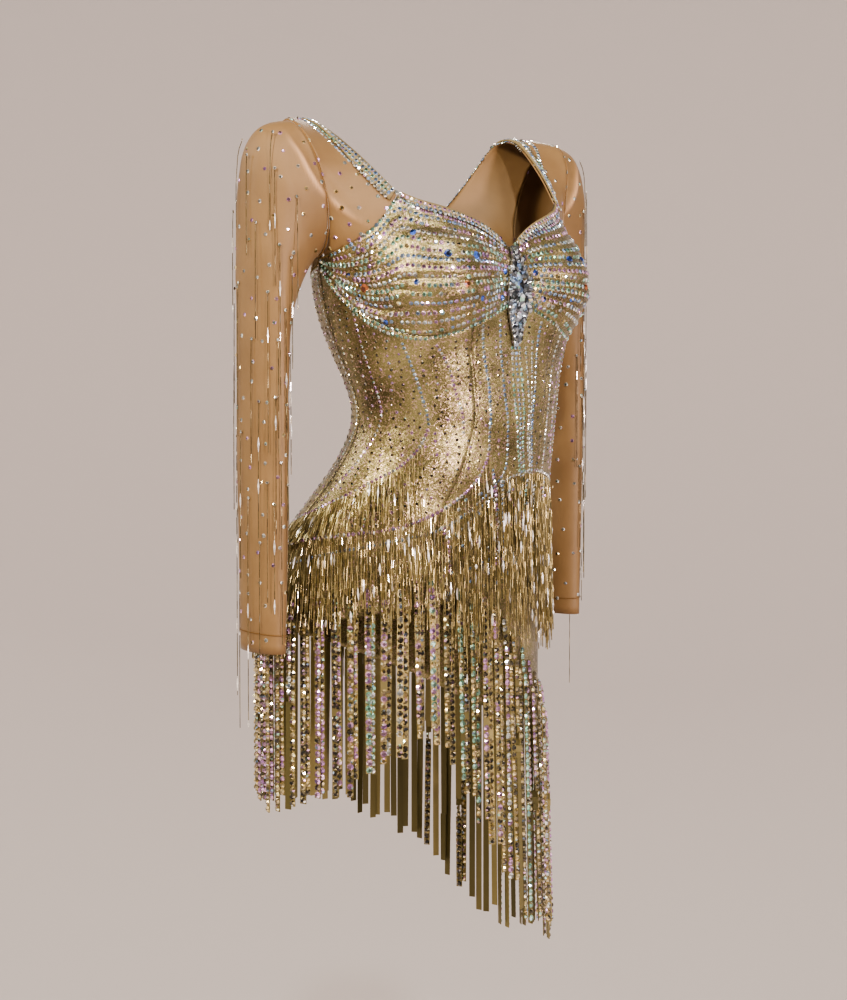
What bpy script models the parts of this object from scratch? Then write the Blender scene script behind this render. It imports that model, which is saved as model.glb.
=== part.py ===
"""Latin dance dress, hollow as worn: gold bodice and hip panels, draped bust cups, stretch-net yoke and sleeves,
a crystal brooch, bugle fringe on the hips and sleeves, and studded strips round an asymmetric hem.

Metres, +Z up. The origin is midway between the two shoulders that carry the dress, at the height of their tops.
The front faces -Y and the wearer's left is +X. An angle round the trunk is 0 at the centre front, positive
towards the wearer's left, and 180 at the centre back.
"""
import math
import random

import bmesh
import bpy
import numpy as np
from mathutils import Matrix, Vector

MM = 0.001
SATIN = 1.5 * MM            # wall of the gold stretch satin with its power-net backing
NET = 1.2 * MM              # wall of the nude stretch net, as a rigid stand-in
SEAM = 0.3 * MM             # gap left at each seam
CUP_SEAM = 0.7 * MM         # the same round the cups, where the two walls lean together
SEAT = 0.6 * MM             # gap between a trim and the wall that it is sewn to

SIDE_SEAM = 100.0           # degrees round to the side seam and the armpit
PRINCESS = 24.0             # degrees round to the princess seam
STRAP_ANGLE = 47.0          # degrees round to where cup, yoke and strap meet
CUP_DROP = 137 * MM         # the sweetheart point, below the shoulders

EDGING = 8 * MM             # width of the beaded edgings
BAND = 5 * MM               # height of a fringe heading
STRIP = 7 * MM              # width of a studded hem strip
STRIP_WALL = 1.2 * MM
BUGLE = 2.4 * MM            # a bundle of bugle strands, drawn as one
BUGLE_WALL = 1.6 * MM
KNEES_MM = (-420, -470, -520)    # heights at which every hanging strand may bend, so that the layers nest
RAMP = 28 * MM              # a strand reaches its full stand-off this far below its root

# Trunk: height, centre x and y, half width, depth in front of and behind the centre, in mm.
TRUNK_MM = (
    # z, centre_x, centre_y, half_width, front, back
    (-700, -7, 23, 167, 130, 130),
    (-560, -7, 23, 167, 130, 130),
    (-520, -7, 22, 167, 130, 130),
    (-480, -6, 13, 164, 124, 127),
    (-431, -4, -6, 156, 112, 113),
    (-408, -2, -17, 149, 104, 104),
    (-375, 4, -31, 134, 98, 98),
    (-340, 8, -42, 122, 95, 93),
    (-312, 9, -48, 118, 96, 92),
    (-282, 8, -46, 124, 99, 95),
    (-235, 5, -41, 138, 105, 114),
    (-190, 3, -38, 149, 105, 125),
    (-147, 1, -33, 150, 106, 119),
    (-120, 0, -28, 150, 104, 114),
    (-84, 0, -22, 149, 103, 106),
)
# Bust: one apex each side, and how far the cup stands out of the trunk.
APEX_X, APEX_Z, APEX_OUT = 88 * MM, -172 * MM, 43 * MM
APEX_SPREAD_X, APEX_SPREAD_UP, APEX_SPREAD_DOWN = 59 * MM, 62 * MM, 46 * MM

# Edges of the cups, by degrees from the centre front: upper edge and underbust seam, in mm.
CUP_MM = (
    # angle, upper, lower
    (0, -137, -188),
    (7.5, -122, -197),
    (15, -111, -206),
    (30, -98, -221),
    (40, -91, -227),
    (47, -84, -228),
    (56, -108, -225),
    (65, -124, -218),
    (75, -135, -204),
    (90, -145, -176),
    (100, -148.2, -151.5),
)
# Upper edge of the back panels, by degrees from the centre front.
BACK_TOP_MM = ((100, -152.6), (120, -162), (150, -182), (180, -190))
# Hem of the cloth, and tips of the studded strips, by degrees round the hip.
HEM_MM = (
    # angle, cloth, tips
    (-180, -585, -762),
    (-150, -556, -740),
    (-120, -538, -730),
    (-90, -528, -722),
    (-60, -521, -704),
    (-45, -515, -684),
    (-32, -510, -660),
    (-22, -510, -642),
    (-13, -517, -690),
    (0, -532, -744),
    (10, -555, -802),
    (20, -585, -848),
    (40, -636, -888),
    (70, -668, -908),
    (100, -670, -922),
    (120, -658, -888),
    (140, -632, -828),
    (180, -585, -762),
)
# Headings of the bugle fringe on the hips, by degrees round and height.
SWOOSH_OUTER_MM = ((-180, -446), (-115, -429), (-83, -398), (-60, -369), (-45, -336))
SWOOSH_INNER_MM = (
    (-180, -486), (-140, -474), (-100, -452), (-70, -437), (-45, -428), (-28, -412), (-19, -390), (-13, -362),
    (-9, -338),
)
SWOOSH_LEFT_MM = (
    (-17, -440), (-11, -424), (-4, -400), (1, -382), (14, -374), (30, -376), (60, -394), (100, -426), (140, -444),
    (180, -450),
)
SHORTEST_STRAND = 38 * MM
TIP_FLARE = 11 * MM         # the hem strips swing out this far at their tips, on the side where they are longest
FLARE_ANGLE = 50.0

# Neckline of the yoke from the strap point over the shoulder to the centre back, wearer's left side.
NECK_MM = (
    # run, x, y, z
    (0, 110, -92, -84),
    (0.4, 125, -53, -48),
    (0.8, 140, -5, -12),
    (1, 143, 20, -5),
    (1.2, 140, 43, -13),
    (1.45, 117, 70, -60),
    (1.7, 74, 84, -104),
    (2, 0, 90, -128),
)
# Armhole loop: centre, half height, half depth, and how far it leans out towards the shoulder tip.
ARMHOLE_CENTRE_MM = (170, -12, -77)
ARMHOLE_HALF_MM = (18, 41, 69)   # lean in x, half depth in y, half height in z

# Sleeve: outer line, inner line, centre y and half depth, from the armhole to the cuff.
SLEEVE_MM = (
    # run, outer_x, outer_z, inner_x, inner_z, centre_y, half_depth
    (0.0, 188.7, -7.0, 153.3, -147.3, -12, 42.2),
    (0.5, 207, -9, 163, -158, -9, 44),
    (1.0, 221, -16, 172, -177, -5, 45),
    (1.5, 229, -38, 180, -202, -2, 44),
    (2.0, 230, -82, 187, -228, 0, 42),
    (3.0, 229, -170, 191, -264, 0, 41),
    (4.0, 229, -245, 192, -310, 0, 41),
    (5.0, 229, -325, 192, -362, 0, 40),
    (6.0, 228, -425, 193, -440, 0, 38),
    (7.0, 227, -551, 195, -551, 0, 35),
)
SLEEVE_RUN = 7.0

# Brooch: half width of its plate by height.
BROOCH_MM = (
    (-239, 2.5), (-228, 5), (-214, 10), (-200, 15), (-182, 17), (-168, 15), (-156, 9), (-148, 6), (-137, 4.5),
)
BROOCH_X = 2 * MM


# ---------------------------------------------------------------- tables and surfaces

def table(rows, at):
    """The columns after the first, read at a value of the first, on a smooth curve through the rows."""
    keys = [row[0] for row in rows]
    at = min(max(at, keys[0]), keys[-1])
    i = min(max(np.searchsorted(keys, at) - 1, 0), len(rows) - 2)
    span = keys[i + 1] - keys[i]
    t = (at - keys[i]) / span
    read = []
    for column in range(1, len(rows[0])):
        def slope(j):
            low, high = max(j - 1, 0), min(j + 1, len(rows) - 1)
            return (rows[high][column] - rows[low][column]) / (keys[high] - keys[low])
        a, b = rows[i][column], rows[i + 1][column]
        m, n = slope(i) * span, slope(i + 1) * span
        read.append(a * (2 * t**3 - 3 * t**2 + 1) + m * (t**3 - 2 * t**2 + t)
                    + b * (3 * t**2 - 2 * t**3) + n * (t**3 - t**2))
    return read


def ease(t):
    t = min(max(t, 0.0), 1.0)
    return t * t * (3 - 2 * t)


def bust(x, z, facing):
    """How far the two cups push the front out at a point, where facing is 1 in front and 0 at the side."""
    spread = APEX_SPREAD_UP if z > APEX_Z else APEX_SPREAD_DOWN
    rise = math.exp(-(abs(z - APEX_Z) / spread) ** 2.3)
    across = sum(math.exp(-((x - side * APEX_X) / APEX_SPREAD_X) ** 2) for side in (-1, 1))
    return APEX_OUT * rise * across * ease(facing / 0.5)


def trunk(angle, z):
    """A point of the dress's inner face round the trunk."""
    centre_x, centre_y, half_width, front, back = (v * MM for v in table(TRUNK_MM, z / MM))
    turn = math.radians(angle)
    x = centre_x + half_width * math.sin(turn)
    depth = front if math.cos(turn) > 0 else back
    y = centre_y - depth * math.cos(turn) - bust(x - centre_x, z, math.cos(turn))
    return Vector((x, y, z))


def normal_of(surface, u, v, du, dv):
    """The outward normal of a surface whose two directions run left and up."""
    across = surface(u + du, v) - surface(u - du, v)
    up = surface(u, v + dv) - surface(u, v - dv)
    return across.cross(up).normalized()


def trunk_out(angle, z, out):
    """A point of the trunk moved out along its normal."""
    return trunk(angle, z) + normal_of(trunk, angle, z, 0.5, 1 * MM) * out


def half_trunk(side, angle, z):
    """A point of one half of the trunk, the right one (side -1) as its mirror image. The halves differ, because the
    waist and underbust lean to the wearer's left."""
    point = trunk(side * angle, z)
    return Vector((side * point.x, point.y, point.z))


def cup_edges(angle):
    upper, lower = table(CUP_MM, abs(angle))
    return upper * MM, lower * MM


def hem(angle):
    return table(HEM_MM, angle)[0] * MM


def tips(angle):
    return table(HEM_MM, angle)[1] * MM


def armhole(turn):
    """A point of the left armhole: turn 0 at the armpit, 90 in front, 180 at the shoulder tip, 270 behind."""
    t = math.radians(turn)
    lean, depth, height = ARMHOLE_HALF_MM
    x, y, z = ARMHOLE_CENTRE_MM
    return Vector((x - lean * math.cos(t), y - depth * math.sin(t), z - height * math.cos(t))) * MM


def yoke_rim(run, side=1):
    """The outer edge of the left half of the yoke: the front of the armhole up to run 1, its back down to the
    armpit at run 1.5, then along the back panel's upper edge to the centre back at run 2."""
    if run <= 1:
        return armhole(180 * run)
    if run <= 1.5:
        return armhole(180 + 360 * (run - 1))
    along = (run - 1.5) / 0.5
    angle = SIDE_SEAM + (180 - SIDE_SEAM) * along
    seam = half_trunk(side, angle, back_top(angle) + CUP_SEAM)
    corner = armhole(360) - half_trunk(side, SIDE_SEAM, back_top(SIDE_SEAM) + CUP_SEAM)
    return seam + corner * (1 - ease(along / 0.15))


def underbust(angle):
    """The upper edge of the front panels."""
    return cup_edges(angle)[1] - CUP_SEAM


def back_top(angle):
    """The upper edge of the back panels."""
    return table(BACK_TOP_MM, abs(angle))[0] * MM


def neck(run):
    return Vector(table(NECK_MM, run)) * MM


def yoke(across, run, side=1):
    """A point of the left half of the yoke: across 0 at the neckline and 1 at the armhole, run 0 at the cup seam,
    1 at the shoulder seam and 2 at the centre back."""
    inner, outer = neck(run), yoke_rim(run, side)
    point = inner.lerp(outer, across)
    arch = 4 * across * (1 - across)
    if run < 1:
        angle = STRAP_ANGLE + (SIDE_SEAM - STRAP_ANGLE) * across
        on_seam = trunk(angle, cup_edges(angle)[0] + CUP_SEAM)
        flat = neck(0).lerp(yoke_rim(0), across)
        point += (on_seam - flat) * (1 - ease(run))
    swell = 3 * MM * math.sin(math.pi * min(run, 1.999) / 2)
    return point + Vector((0.25, -0.3 + 0.45 * run, 0.85 if run < 1.6 else 0.2)).normalized() * arch * swell


def sleeve(turn, run):
    """A point of the left sleeve's outer face: turn 0 on the outer line, -90 in front, 180 on the inner line."""
    ox, oz, ix, iz, centre_y, half_depth = (v * MM for v in table(SLEEVE_MM, run))
    t = math.radians(turn)
    middle = Vector(((ox + ix) / 2, centre_y, (oz + iz) / 2))
    reach = Vector(((ox - ix) / 2, 0, (oz - iz) / 2))
    return middle + reach * math.cos(t) + Vector((0, half_depth * math.sin(t), 0))


# ---------------------------------------------------------------- making objects

def material(name, colour, roughness, metallic=0.0):
    made = bpy.data.materials.new(name)
    made.use_nodes = True
    shader = made.node_tree.nodes["Principled BSDF"]
    shader.inputs["Base Color"].default_value = (*colour, 1.0)
    shader.inputs["Roughness"].default_value = roughness
    shader.inputs["Metallic"].default_value = metallic
    return made


def collect(name, mesh, finish):
    """A finished mesh as a named object of the dress."""
    made = bpy.data.objects.new(name, mesh)
    made.data.materials.append(finish)
    for face in made.data.polygons:
        face.use_smooth = True
    DRESS.objects.link(made)
    return made


def thicken(made, wall, direction=1.0, relief=None):
    """Gives an open surface its wall. relief holds one number for each point, its share of the wall."""
    solid = made.modifiers.new("wall", "SOLIDIFY")
    solid.thickness = wall
    solid.offset = direction
    solid.use_even_offset = False
    if relief:
        group = made.vertex_groups.new(name="relief")
        for index, share in enumerate(relief):
            group.add([index], share, "REPLACE")
        solid.vertex_group = "relief"
    return made


def sheet_mesh(name, place, columns, rows, mirrored=False):
    """A grid of columns by rows, each point put by place(u, v) with u and v from 0 to 1. It faces outwards where
    u runs to the wearer's left and v runs up."""
    bm = bmesh.new()
    bmesh.ops.create_grid(bm, x_segments=columns, y_segments=rows, size=0.5)
    for point in bm.verts:
        u, v = point.co.x + 0.5, point.co.y + 0.5
        point.co = place(u, v)
        if mirrored:
            point.co.x = -point.co.x
    if mirrored:
        bmesh.ops.reverse_faces(bm, faces=bm.faces)
    bmesh.ops.remove_doubles(bm, verts=bm.verts, dist=0.01 * MM)
    mesh = bpy.data.meshes.new(name)
    bm.to_mesh(mesh)
    bm.free()
    return mesh


# ---------------------------------------------------------------- bodice and hip panels

PANEL_ROWS = 16
INSET = math.degrees(SEAM / 2 / (145 * MM))    # half a seam gap, in degrees round the trunk


def panel(name, start, end, top, bottom, columns):
    """A gold panel between two angles, from its upper to its lower edge."""
    def place(u, v):
        angle = start + INSET + (end - start - 2 * INSET) * u
        low, high = bottom(angle), top(angle)
        return trunk(angle, low + (high - low) * v)
    return thicken(collect(name, sheet_mesh(name, place, columns, PANEL_ROWS), GOLD), SATIN)


def make_panels():
    panel("front_centre", -PRINCESS, PRINCESS, underbust, hem, 6)
    panel("front_side_right", -SIDE_SEAM, -PRINCESS, underbust, hem, 8)
    panel("front_side_left", PRINCESS, SIDE_SEAM, underbust, hem, 8)
    panel("back_right", -180, -SIDE_SEAM, back_top, hem, 8)
    panel("back_left", SIDE_SEAM, 180, back_top, hem, 8)


# ---------------------------------------------------------------- bust cups

PLEATS = 5                  # draped folds from the armpit to the brooch
PLEAT_RISE = 2.2 * MM
CUP_INNER, CUP_OUTER, CUP_ROWS = 6, 5, 20    # columns inside and outside the strap point, and rows


def cup_angle(u):
    column = u * (CUP_INNER + CUP_OUTER)
    if column <= CUP_INNER:
        return 0.1 + (STRAP_ANGLE - 0.1) * column / CUP_INNER
    return STRAP_ANGLE + (SIDE_SEAM - 0.4 - STRAP_ANGLE) * (column - CUP_INNER) / CUP_OUTER


def cup_place(u, v, side):
    """A cup: u from the centre front to the armpit, v from the underbust seam to the upper edge. The upper edges
    are alike, as the yoke's are, and each underbust seam follows its own half of the trunk."""
    angle = cup_angle(u)
    upper, lower = cup_edges(angle)
    z = lower + (upper - lower) * v
    return half_trunk(side, angle, z).lerp(trunk(angle, z), ease(v))


def cup_relief(u, v):
    """The wall's thickness at a point of the cup, as a share of the wall with its highest fold."""
    fold = abs(math.sin(math.pi * PLEATS * v))
    fade = ease(u / 0.22) * ease((1 - u) / 0.25) * ease(v / 0.05) * ease((1 - v) / 0.3)
    return (SATIN + PLEAT_RISE * fold * fade) / (SATIN + PLEAT_RISE)


def make_cup(side):
    columns = CUP_INNER + CUP_OUTER
    half = -1 if side == "right" else 1
    mesh = sheet_mesh("cup_" + side, lambda u, v: cup_place(u, v, half), columns, CUP_ROWS, mirrored=half < 0)
    cup = collect("cup_" + side, mesh, GOLD)
    stations = [(i / columns, j / CUP_ROWS) for j in range(CUP_ROWS + 1) for i in range(columns + 1)]
    thicken(cup, SATIN + PLEAT_RISE, relief=[cup_relief(u, v) for u, v in stations])


def make_cup_edging(side):
    """The beaded edging on the cup's upper edge, from the sweetheart point to the strap."""
    def place(u, v):
        angle = 4.4 + (STRAP_ANGLE - 5.6) * u
        z = cup_edges(angle)[0] - EDGING * (1 - v)
        return trunk_out(angle, z, SATIN + SEAT)
    mesh = sheet_mesh("cup_edging_" + side, place, 10, 1, mirrored=side == "right")
    thicken(collect("cup_edging_" + side, mesh, CRYSTAL), 1.6 * MM)


# ---------------------------------------------------------------- yoke, neck edging and sleeves

YOKE_COLUMNS, YOKE_FRONT_ROWS, YOKE_BACK_ROWS = 5, 9, 14


def make_yokes():
    for side in ("right", "left"):
        def front(u, v):
            return yoke(0.004 + 0.993 * u, 0.003 + 0.994 * v)
        mesh = sheet_mesh("yoke_front_" + side, front, YOKE_COLUMNS, YOKE_FRONT_ROWS, mirrored=side == "right")
        thicken(collect("yoke_front_" + side, mesh, SKIN_NET), NET)

    def back(u, v):
        """One piece from shoulder seam to shoulder seam: u from the wearer's left to the right, v from rim to neck."""
        run = 1.003 + 0.997 * (1 - abs(2 * u - 1))
        side = 1 if u < 0.5 else -1
        point = yoke(0.997 - 0.993 * v, run, side)
        return Vector((side * point.x, point.y, point.z))
    mesh = sheet_mesh("yoke_back", back, 2 * YOKE_BACK_ROWS, YOKE_COLUMNS)
    thicken(collect("yoke_back", mesh, SKIN_NET), NET)


def make_neck_edging(side):
    """The beaded edging along the neckline, from the strap point over the shoulder to the centre back."""
    rows = YOKE_FRONT_ROWS + YOKE_BACK_ROWS

    def place(u, v):
        step = v * rows
        run = 0.02 + 0.977 * step / YOKE_FRONT_ROWS
        if step > YOKE_FRONT_ROWS:
            run = 1.003 + 0.991 * (step - YOKE_FRONT_ROWS) / YOKE_BACK_ROWS
        width = (yoke_rim(run) - neck(run)).length
        across = 0.01 + EDGING / width * u
        return yoke(across, run) + normal_of(yoke, across, run, 0.01, 0.01) * (NET + SEAT + 0.8 * MM)
    mesh = sheet_mesh("neck_edging_" + side, place, 1, rows, mirrored=side == "right")
    thicken(collect("neck_edging_" + side, mesh, CRYSTAL), 1.6 * MM)


def make_sleeve(side):
    def place(u, v):
        return sleeve(360 * u, SLEEVE_RUN * (1 - v))
    mesh = sheet_mesh("sleeve_" + side, place, 16, 12, mirrored=side == "right")
    thicken(collect("sleeve_" + side, mesh, SKIN_NET), NET, direction=-1.0)


# ---------------------------------------------------------------- fringe

def outward(angle, z):
    normal = normal_of(trunk, angle, z, 0.5, 1 * MM)
    return Vector((normal.x, normal.y, 0)).normalized()


def hang(angle, root, z, stand_off):
    """Where a strand sewn on at root height is at a lower height: it lies on the widest part of the hip that it
    has passed, held out by what lies under it."""
    out = outward(angle, root)
    heights = [root + (z - root) * i / 12 for i in range(13)]
    widest = max((trunk(angle, h) for h in heights), key=lambda p: p.dot(out))
    held = stand_off * ease((root - z) / RAMP) + (SATIN + SEAT) * 1.2
    return Vector((widest.x, widest.y, 0)) + out * held + Vector((0, 0, z))


def hang_down(angle, root, tip, stand_off):
    """The points down a strand, below its root."""
    knees = [k * MM for k in KNEES_MM if root - RAMP - 9 * MM > k * MM > tip + 9 * MM]
    return [hang(angle, root, z, stand_off) for z in (root - RAMP, *knees, tip)]


def comb(name, stations, seat, drop, wall, finish, closed=False):
    """A heading band with strands cut in one with it. stations holds each strand's (start, end) along the heading,
    seat(s, raised) gives the band's points, and drop(s, i) gives the points down a strand's edge."""
    bm = bmesh.new()
    places = sorted({s for pair in stations for s in pair})
    rows = {}
    for s in places:
        rows[s] = (bm.verts.new(seat(s, BAND)), bm.verts.new(seat(s, 0.0)))
    links = list(zip(places, places[1:]))
    if closed:
        links.append((places[-1], places[0]))
    for a, b in links:
        bm.faces.new((rows[a][1], rows[b][1], rows[b][0], rows[a][0]))
    for index, (a, b) in enumerate(stations):
        edge = bm.edges.get((rows[a][1], rows[b][1]))
        left, right = drop(index, a), drop(index, b)
        for low_a, low_b in zip(left, right):
            grown = bmesh.ops.extrude_edge_only(bm, edges=[edge])["geom"]
            edge = next(g for g in grown if isinstance(g, bmesh.types.BMEdge))
            first, second = edge.verts
            if (first.co - low_a).length + (second.co - low_b).length > (
                    first.co - low_b).length + (second.co - low_a).length:
                first, second = second, first
            first.co, second.co = low_a, low_b
    bmesh.ops.recalc_face_normals(bm, faces=bm.faces)
    mesh = bpy.data.meshes.new(name)
    bm.to_mesh(mesh)
    bm.free()
    return thicken(collect(name, mesh, finish), wall)


def face_out(made, outside):
    """Turns an open mesh over if its first face points away from outside(point)."""
    face = made.data.polygons[0]
    if face.normal.dot(outside(face.center)) < 0:
        made.data.flip_normals()


def away_from_trunk(point):
    return Vector((point.x, point.y + 0.02, 0))


def hip_fringe(name, line, start, end, count, length, stand_off, seed, short_of=None):
    """A row of bugle strands sewn along a line round the hip, the tips held short of another line."""
    draw = random.Random(seed)
    pitch = (end - start) / count
    lengths = [length * draw.uniform(0.82, 1.1) for _ in range(count)]
    half = math.degrees(BUGLE / 2 / 0.14)
    middles = [start + pitch * (i + 0.5) for i in range(count)]
    if short_of:
        room = [(table(line, m)[0] - table(short_of, m)[0]) * MM - 2 * BAND for m in middles]
        lengths = [max(min(drop, space), SHORTEST_STRAND) for drop, space in zip(lengths, room)]
    stations = [(m - half, m + half) for m in middles]

    def root(angle):
        return table(line, angle)[0] * MM

    def seat(angle, raised):
        return trunk_out(angle, root(angle) + raised, SATIN + SEAT)

    def drop(index, angle):
        return hang_down(angle, root(angle), root(middles[index]) - lengths[index], stand_off)
    face_out(comb(name, stations, seat, drop, BUGLE_WALL, BUGLE_GOLD), away_from_trunk)


def hem_strips(name, raised_by, count, stand_off, shift, seed):
    """A ring of studded strips sewn round the hem."""
    draw = random.Random(seed)
    pitch = 360.0 / count
    half = math.degrees(STRIP / 2 / 0.155)
    middles = [-180 + pitch * (i + shift) for i in range(count)]
    ends = [tips(m) + draw.uniform(-15, 12) * MM for m in middles]
    stations = [(m - half, m + half) for m in middles]

    def root(angle):
        return hem((angle + 180) % 360 - 180) + raised_by

    def seat(angle, raised):
        return trunk_out((angle + 180) % 360 - 180, root(angle) + raised, SATIN + SEAT)

    def drop(index, angle):
        *above, tip = hang_down((angle + 180) % 360 - 180, root(angle), ends[index], stand_off)
        flare = TIP_FLARE * max(math.cos(math.radians(middles[index] - FLARE_ANGLE)), 0.0)
        return [*above, tip + outward(middles[index], ends[index]) * flare]
    face_out(comb(name, stations, seat, drop, STRIP_WALL, STUDDED, closed=True), away_from_trunk)


SLEEVE_FRINGE = (
    # name, run along the sleeve, strand length in mm
    ("upper", 1.6, 110),
    ("middle", 3.0, 180),
    ("lower", 5.7, 245),
)
SLEEVE_STRANDS = 6


def sleeve_fringe(side, level, run, length, seed):
    """Bugle strands from one level of the sleeve's outer face."""
    draw = random.Random(seed)
    half = math.degrees(BUGLE / 2 / 0.034)
    middles = [-96 + 192 * i / (SLEEVE_STRANDS - 1) for i in range(SLEEVE_STRANDS)]
    lengths = [length * MM * draw.uniform(0.72, 1.0) for _ in middles]
    stations = [(m - half, m + half) for m in middles]
    flip = -1 if side == "right" else 1

    def off(turn, at, out):
        normal = normal_of(lambda u, v: sleeve(u, v), turn, at, 1.0, 0.05)
        away = sleeve(turn, at) - sleeve(turn + 180, at)
        return sleeve(turn, at) + normal * math.copysign(out, normal.dot(away))

    def seat(turn, raised):
        point = off(turn, run - raised / (90 * MM), SEAT + 1.0 * MM)
        return Vector((flip * point.x, point.y, point.z))

    def drop(index, turn):
        top = off(turn, run, SEAT + 1.0 * MM)
        low = off(middles[index], run, 0).z - lengths[index]
        points = []
        for z in (top.z - 0.35 * (top.z - low), low):
            below = [sleeve(turn, run + (SLEEVE_RUN - run) * i / 10) for i in range(11)]
            widest = max(below, key=lambda p: p.x)
            x = max(top.x, widest.x + 1.4 * MM) if abs(turn) < 70 else top.x
            grow = 1.0 + 0.05 * ease((top.z - z) / (60 * MM))
            points.append(Vector((flip * x, top.y * grow, z)))
        return points
    made = comb(f"sleeve_fringe_{level}_{side}", stations, seat, drop, BUGLE_WALL, BUGLE_GOLD)
    face_out(made, lambda p: Vector((p.x - flip * 0.195, p.y, 0)))


# ---------------------------------------------------------------- brooch

GEM_SIDES = 5


def gem(at, facing, radius, height):
    """One cut stone: a short prism under a flat-topped crown, sunk a little into the plate."""
    bm = bmesh.new()
    bmesh.ops.create_cone(
        bm, cap_ends=True, segments=GEM_SIDES, radius1=radius, radius2=radius * 0.55, depth=height)
    turn = facing.to_track_quat("Z", "Y").to_matrix().to_4x4()
    seat = Matrix.Translation(at + facing * (height / 2 - 1.2 * MM))
    bmesh.ops.transform(bm, matrix=seat @ turn, verts=bm.verts)
    mesh = bpy.data.meshes.new("gem")
    bm.to_mesh(mesh)
    bm.free()
    made = bpy.data.objects.new("gem", mesh)
    GEMS.objects.link(made)
    made.hide_render = True
    made.display_type = "WIRE"
    return made


def make_brooch():
    """A plate in the shape of a drop, with rows of stones set on it."""
    lift = SATIN + SEAT + 1.3 * MM

    def on_front(x, z, out):
        centre_x, _, half_width, *_ = (v * MM for v in table(TRUNK_MM, z / MM))
        angle = math.degrees(math.asin((x - centre_x) / half_width))
        return trunk_out(angle, z, out), normal_of(trunk, angle, z, 0.5, 1 * MM)

    def place(u, v):
        z = (-238 + 101 * v) * MM
        half = table(BROOCH_MM, z / MM)[0] * MM
        return on_front(BROOCH_X + (2 * u - 1) * half, z, lift)[0]
    plate = collect("brooch", sheet_mesh("brooch", place, 3, 10), CRYSTAL)
    thicken(plate, 2.2 * MM)
    for step in range(10):
        z = (-230 + 10 * step) * MM
        half = table(BROOCH_MM, z / MM)[0] * MM
        across = max(1, round(2 * half / (10 * MM)))
        for i in range(across):
            x = BROOCH_X + (2 * (i + 0.5) / across - 1) * half
            at, facing = on_front(x, z, lift + 2.2 * MM)
            gem(at, facing, 4.0 * MM, 5 * MM)
    union = plate.modifiers.new("stones", "BOOLEAN")
    union.operation = "UNION"
    union.operand_type = "COLLECTION"
    union.collection = GEMS
    union.solver = "EXACT"


# ---------------------------------------------------------------- the dress

for left_over in list(bpy.data.objects):
    bpy.data.objects.remove(left_over)
DRESS = bpy.data.collections.new("latin_dance_dress")
GEMS = bpy.data.collections.new("brooch_stones")
bpy.context.scene.collection.children.link(DRESS)
bpy.context.scene.collection.children.link(GEMS)

GOLD = material("gold_satin", (0.52, 0.40, 0.20), 0.4, 0.3)
SKIN_NET = material("nude_net", (0.62, 0.40, 0.25), 0.6)
CRYSTAL = material("crystal", (0.75, 0.76, 0.80), 0.15, 0.6)
BUGLE_GOLD = material("bugle_bead", (0.60, 0.48, 0.22), 0.2, 0.8)
STUDDED = material("studded_strip", (0.60, 0.55, 0.45), 0.25, 0.6)

make_panels()
make_yokes()
for SIDE in ("right", "left"):
    make_cup(SIDE)
    make_cup_edging(SIDE)
    make_neck_edging(SIDE)
    make_sleeve(SIDE)
    for NUMBER, (LEVEL, RUN, LENGTH) in enumerate(SLEEVE_FRINGE):
        sleeve_fringe(SIDE, LEVEL, RUN, LENGTH, seed=NUMBER + (10 if SIDE == "left" else 20))
make_brooch()
hip_fringe(
    "hip_fringe_outer", SWOOSH_OUTER_MM, -178, -45, 26, 84 * MM, 8.4 * MM, seed=1, short_of=SWOOSH_INNER_MM)
hip_fringe("hip_fringe_inner", SWOOSH_INNER_MM, -176, -9, 30, 84 * MM, 6.0 * MM, seed=2)
hip_fringe("hip_fringe_left", SWOOSH_LEFT_MM, -17, 178, 34, 150 * MM, 3.6 * MM, seed=3)
hem_strips("hem_strips_upper", 30 * MM, 50, 1.6 * MM, 0.5, seed=4)
hem_strips("hem_strips_lower", 0.0, 50, 0.0, 0.0, seed=5)
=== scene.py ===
"""Latin dance dress: the cloth, stones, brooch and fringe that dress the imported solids.

Metres, +Z up, the front faces -Y and the wearer's left is +X. An angle round the trunk is 0 at the centre
front and grows towards the wearer's left. A side is 1 for the wearer's left and -1 for the right.
"""
import math
import random

import bmesh
import bpy
import numpy as np
from mathutils import Matrix, Vector
from mathutils.bvhtree import BVHTree


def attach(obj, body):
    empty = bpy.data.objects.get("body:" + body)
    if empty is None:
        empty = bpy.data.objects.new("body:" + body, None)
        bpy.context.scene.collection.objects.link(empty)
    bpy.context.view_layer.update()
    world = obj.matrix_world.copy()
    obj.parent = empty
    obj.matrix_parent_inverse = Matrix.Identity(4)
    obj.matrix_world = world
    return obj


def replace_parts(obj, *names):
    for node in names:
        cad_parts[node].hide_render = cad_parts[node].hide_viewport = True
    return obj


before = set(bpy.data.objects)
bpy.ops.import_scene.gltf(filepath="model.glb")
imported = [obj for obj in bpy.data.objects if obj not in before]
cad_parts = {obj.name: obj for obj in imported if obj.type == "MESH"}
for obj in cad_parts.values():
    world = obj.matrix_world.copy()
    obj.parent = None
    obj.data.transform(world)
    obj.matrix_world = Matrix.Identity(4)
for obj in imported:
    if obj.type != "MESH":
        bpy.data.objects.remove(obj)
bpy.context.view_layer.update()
MM = 0.001

# ---------------------------------------------------------------- gold satin panels and cups
# Foil-printed stretch satin: a knitted ground with a thin gold foil pressed on, cut in princess panels and
# two draped cups. The foil gives broad highlights over an olive-gold ground, and a fine grain. A share of
# its flecks is painted pink, a painted pink glint of the crystals reflected in the foil, so the highlights
# look slightly pink.

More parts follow.
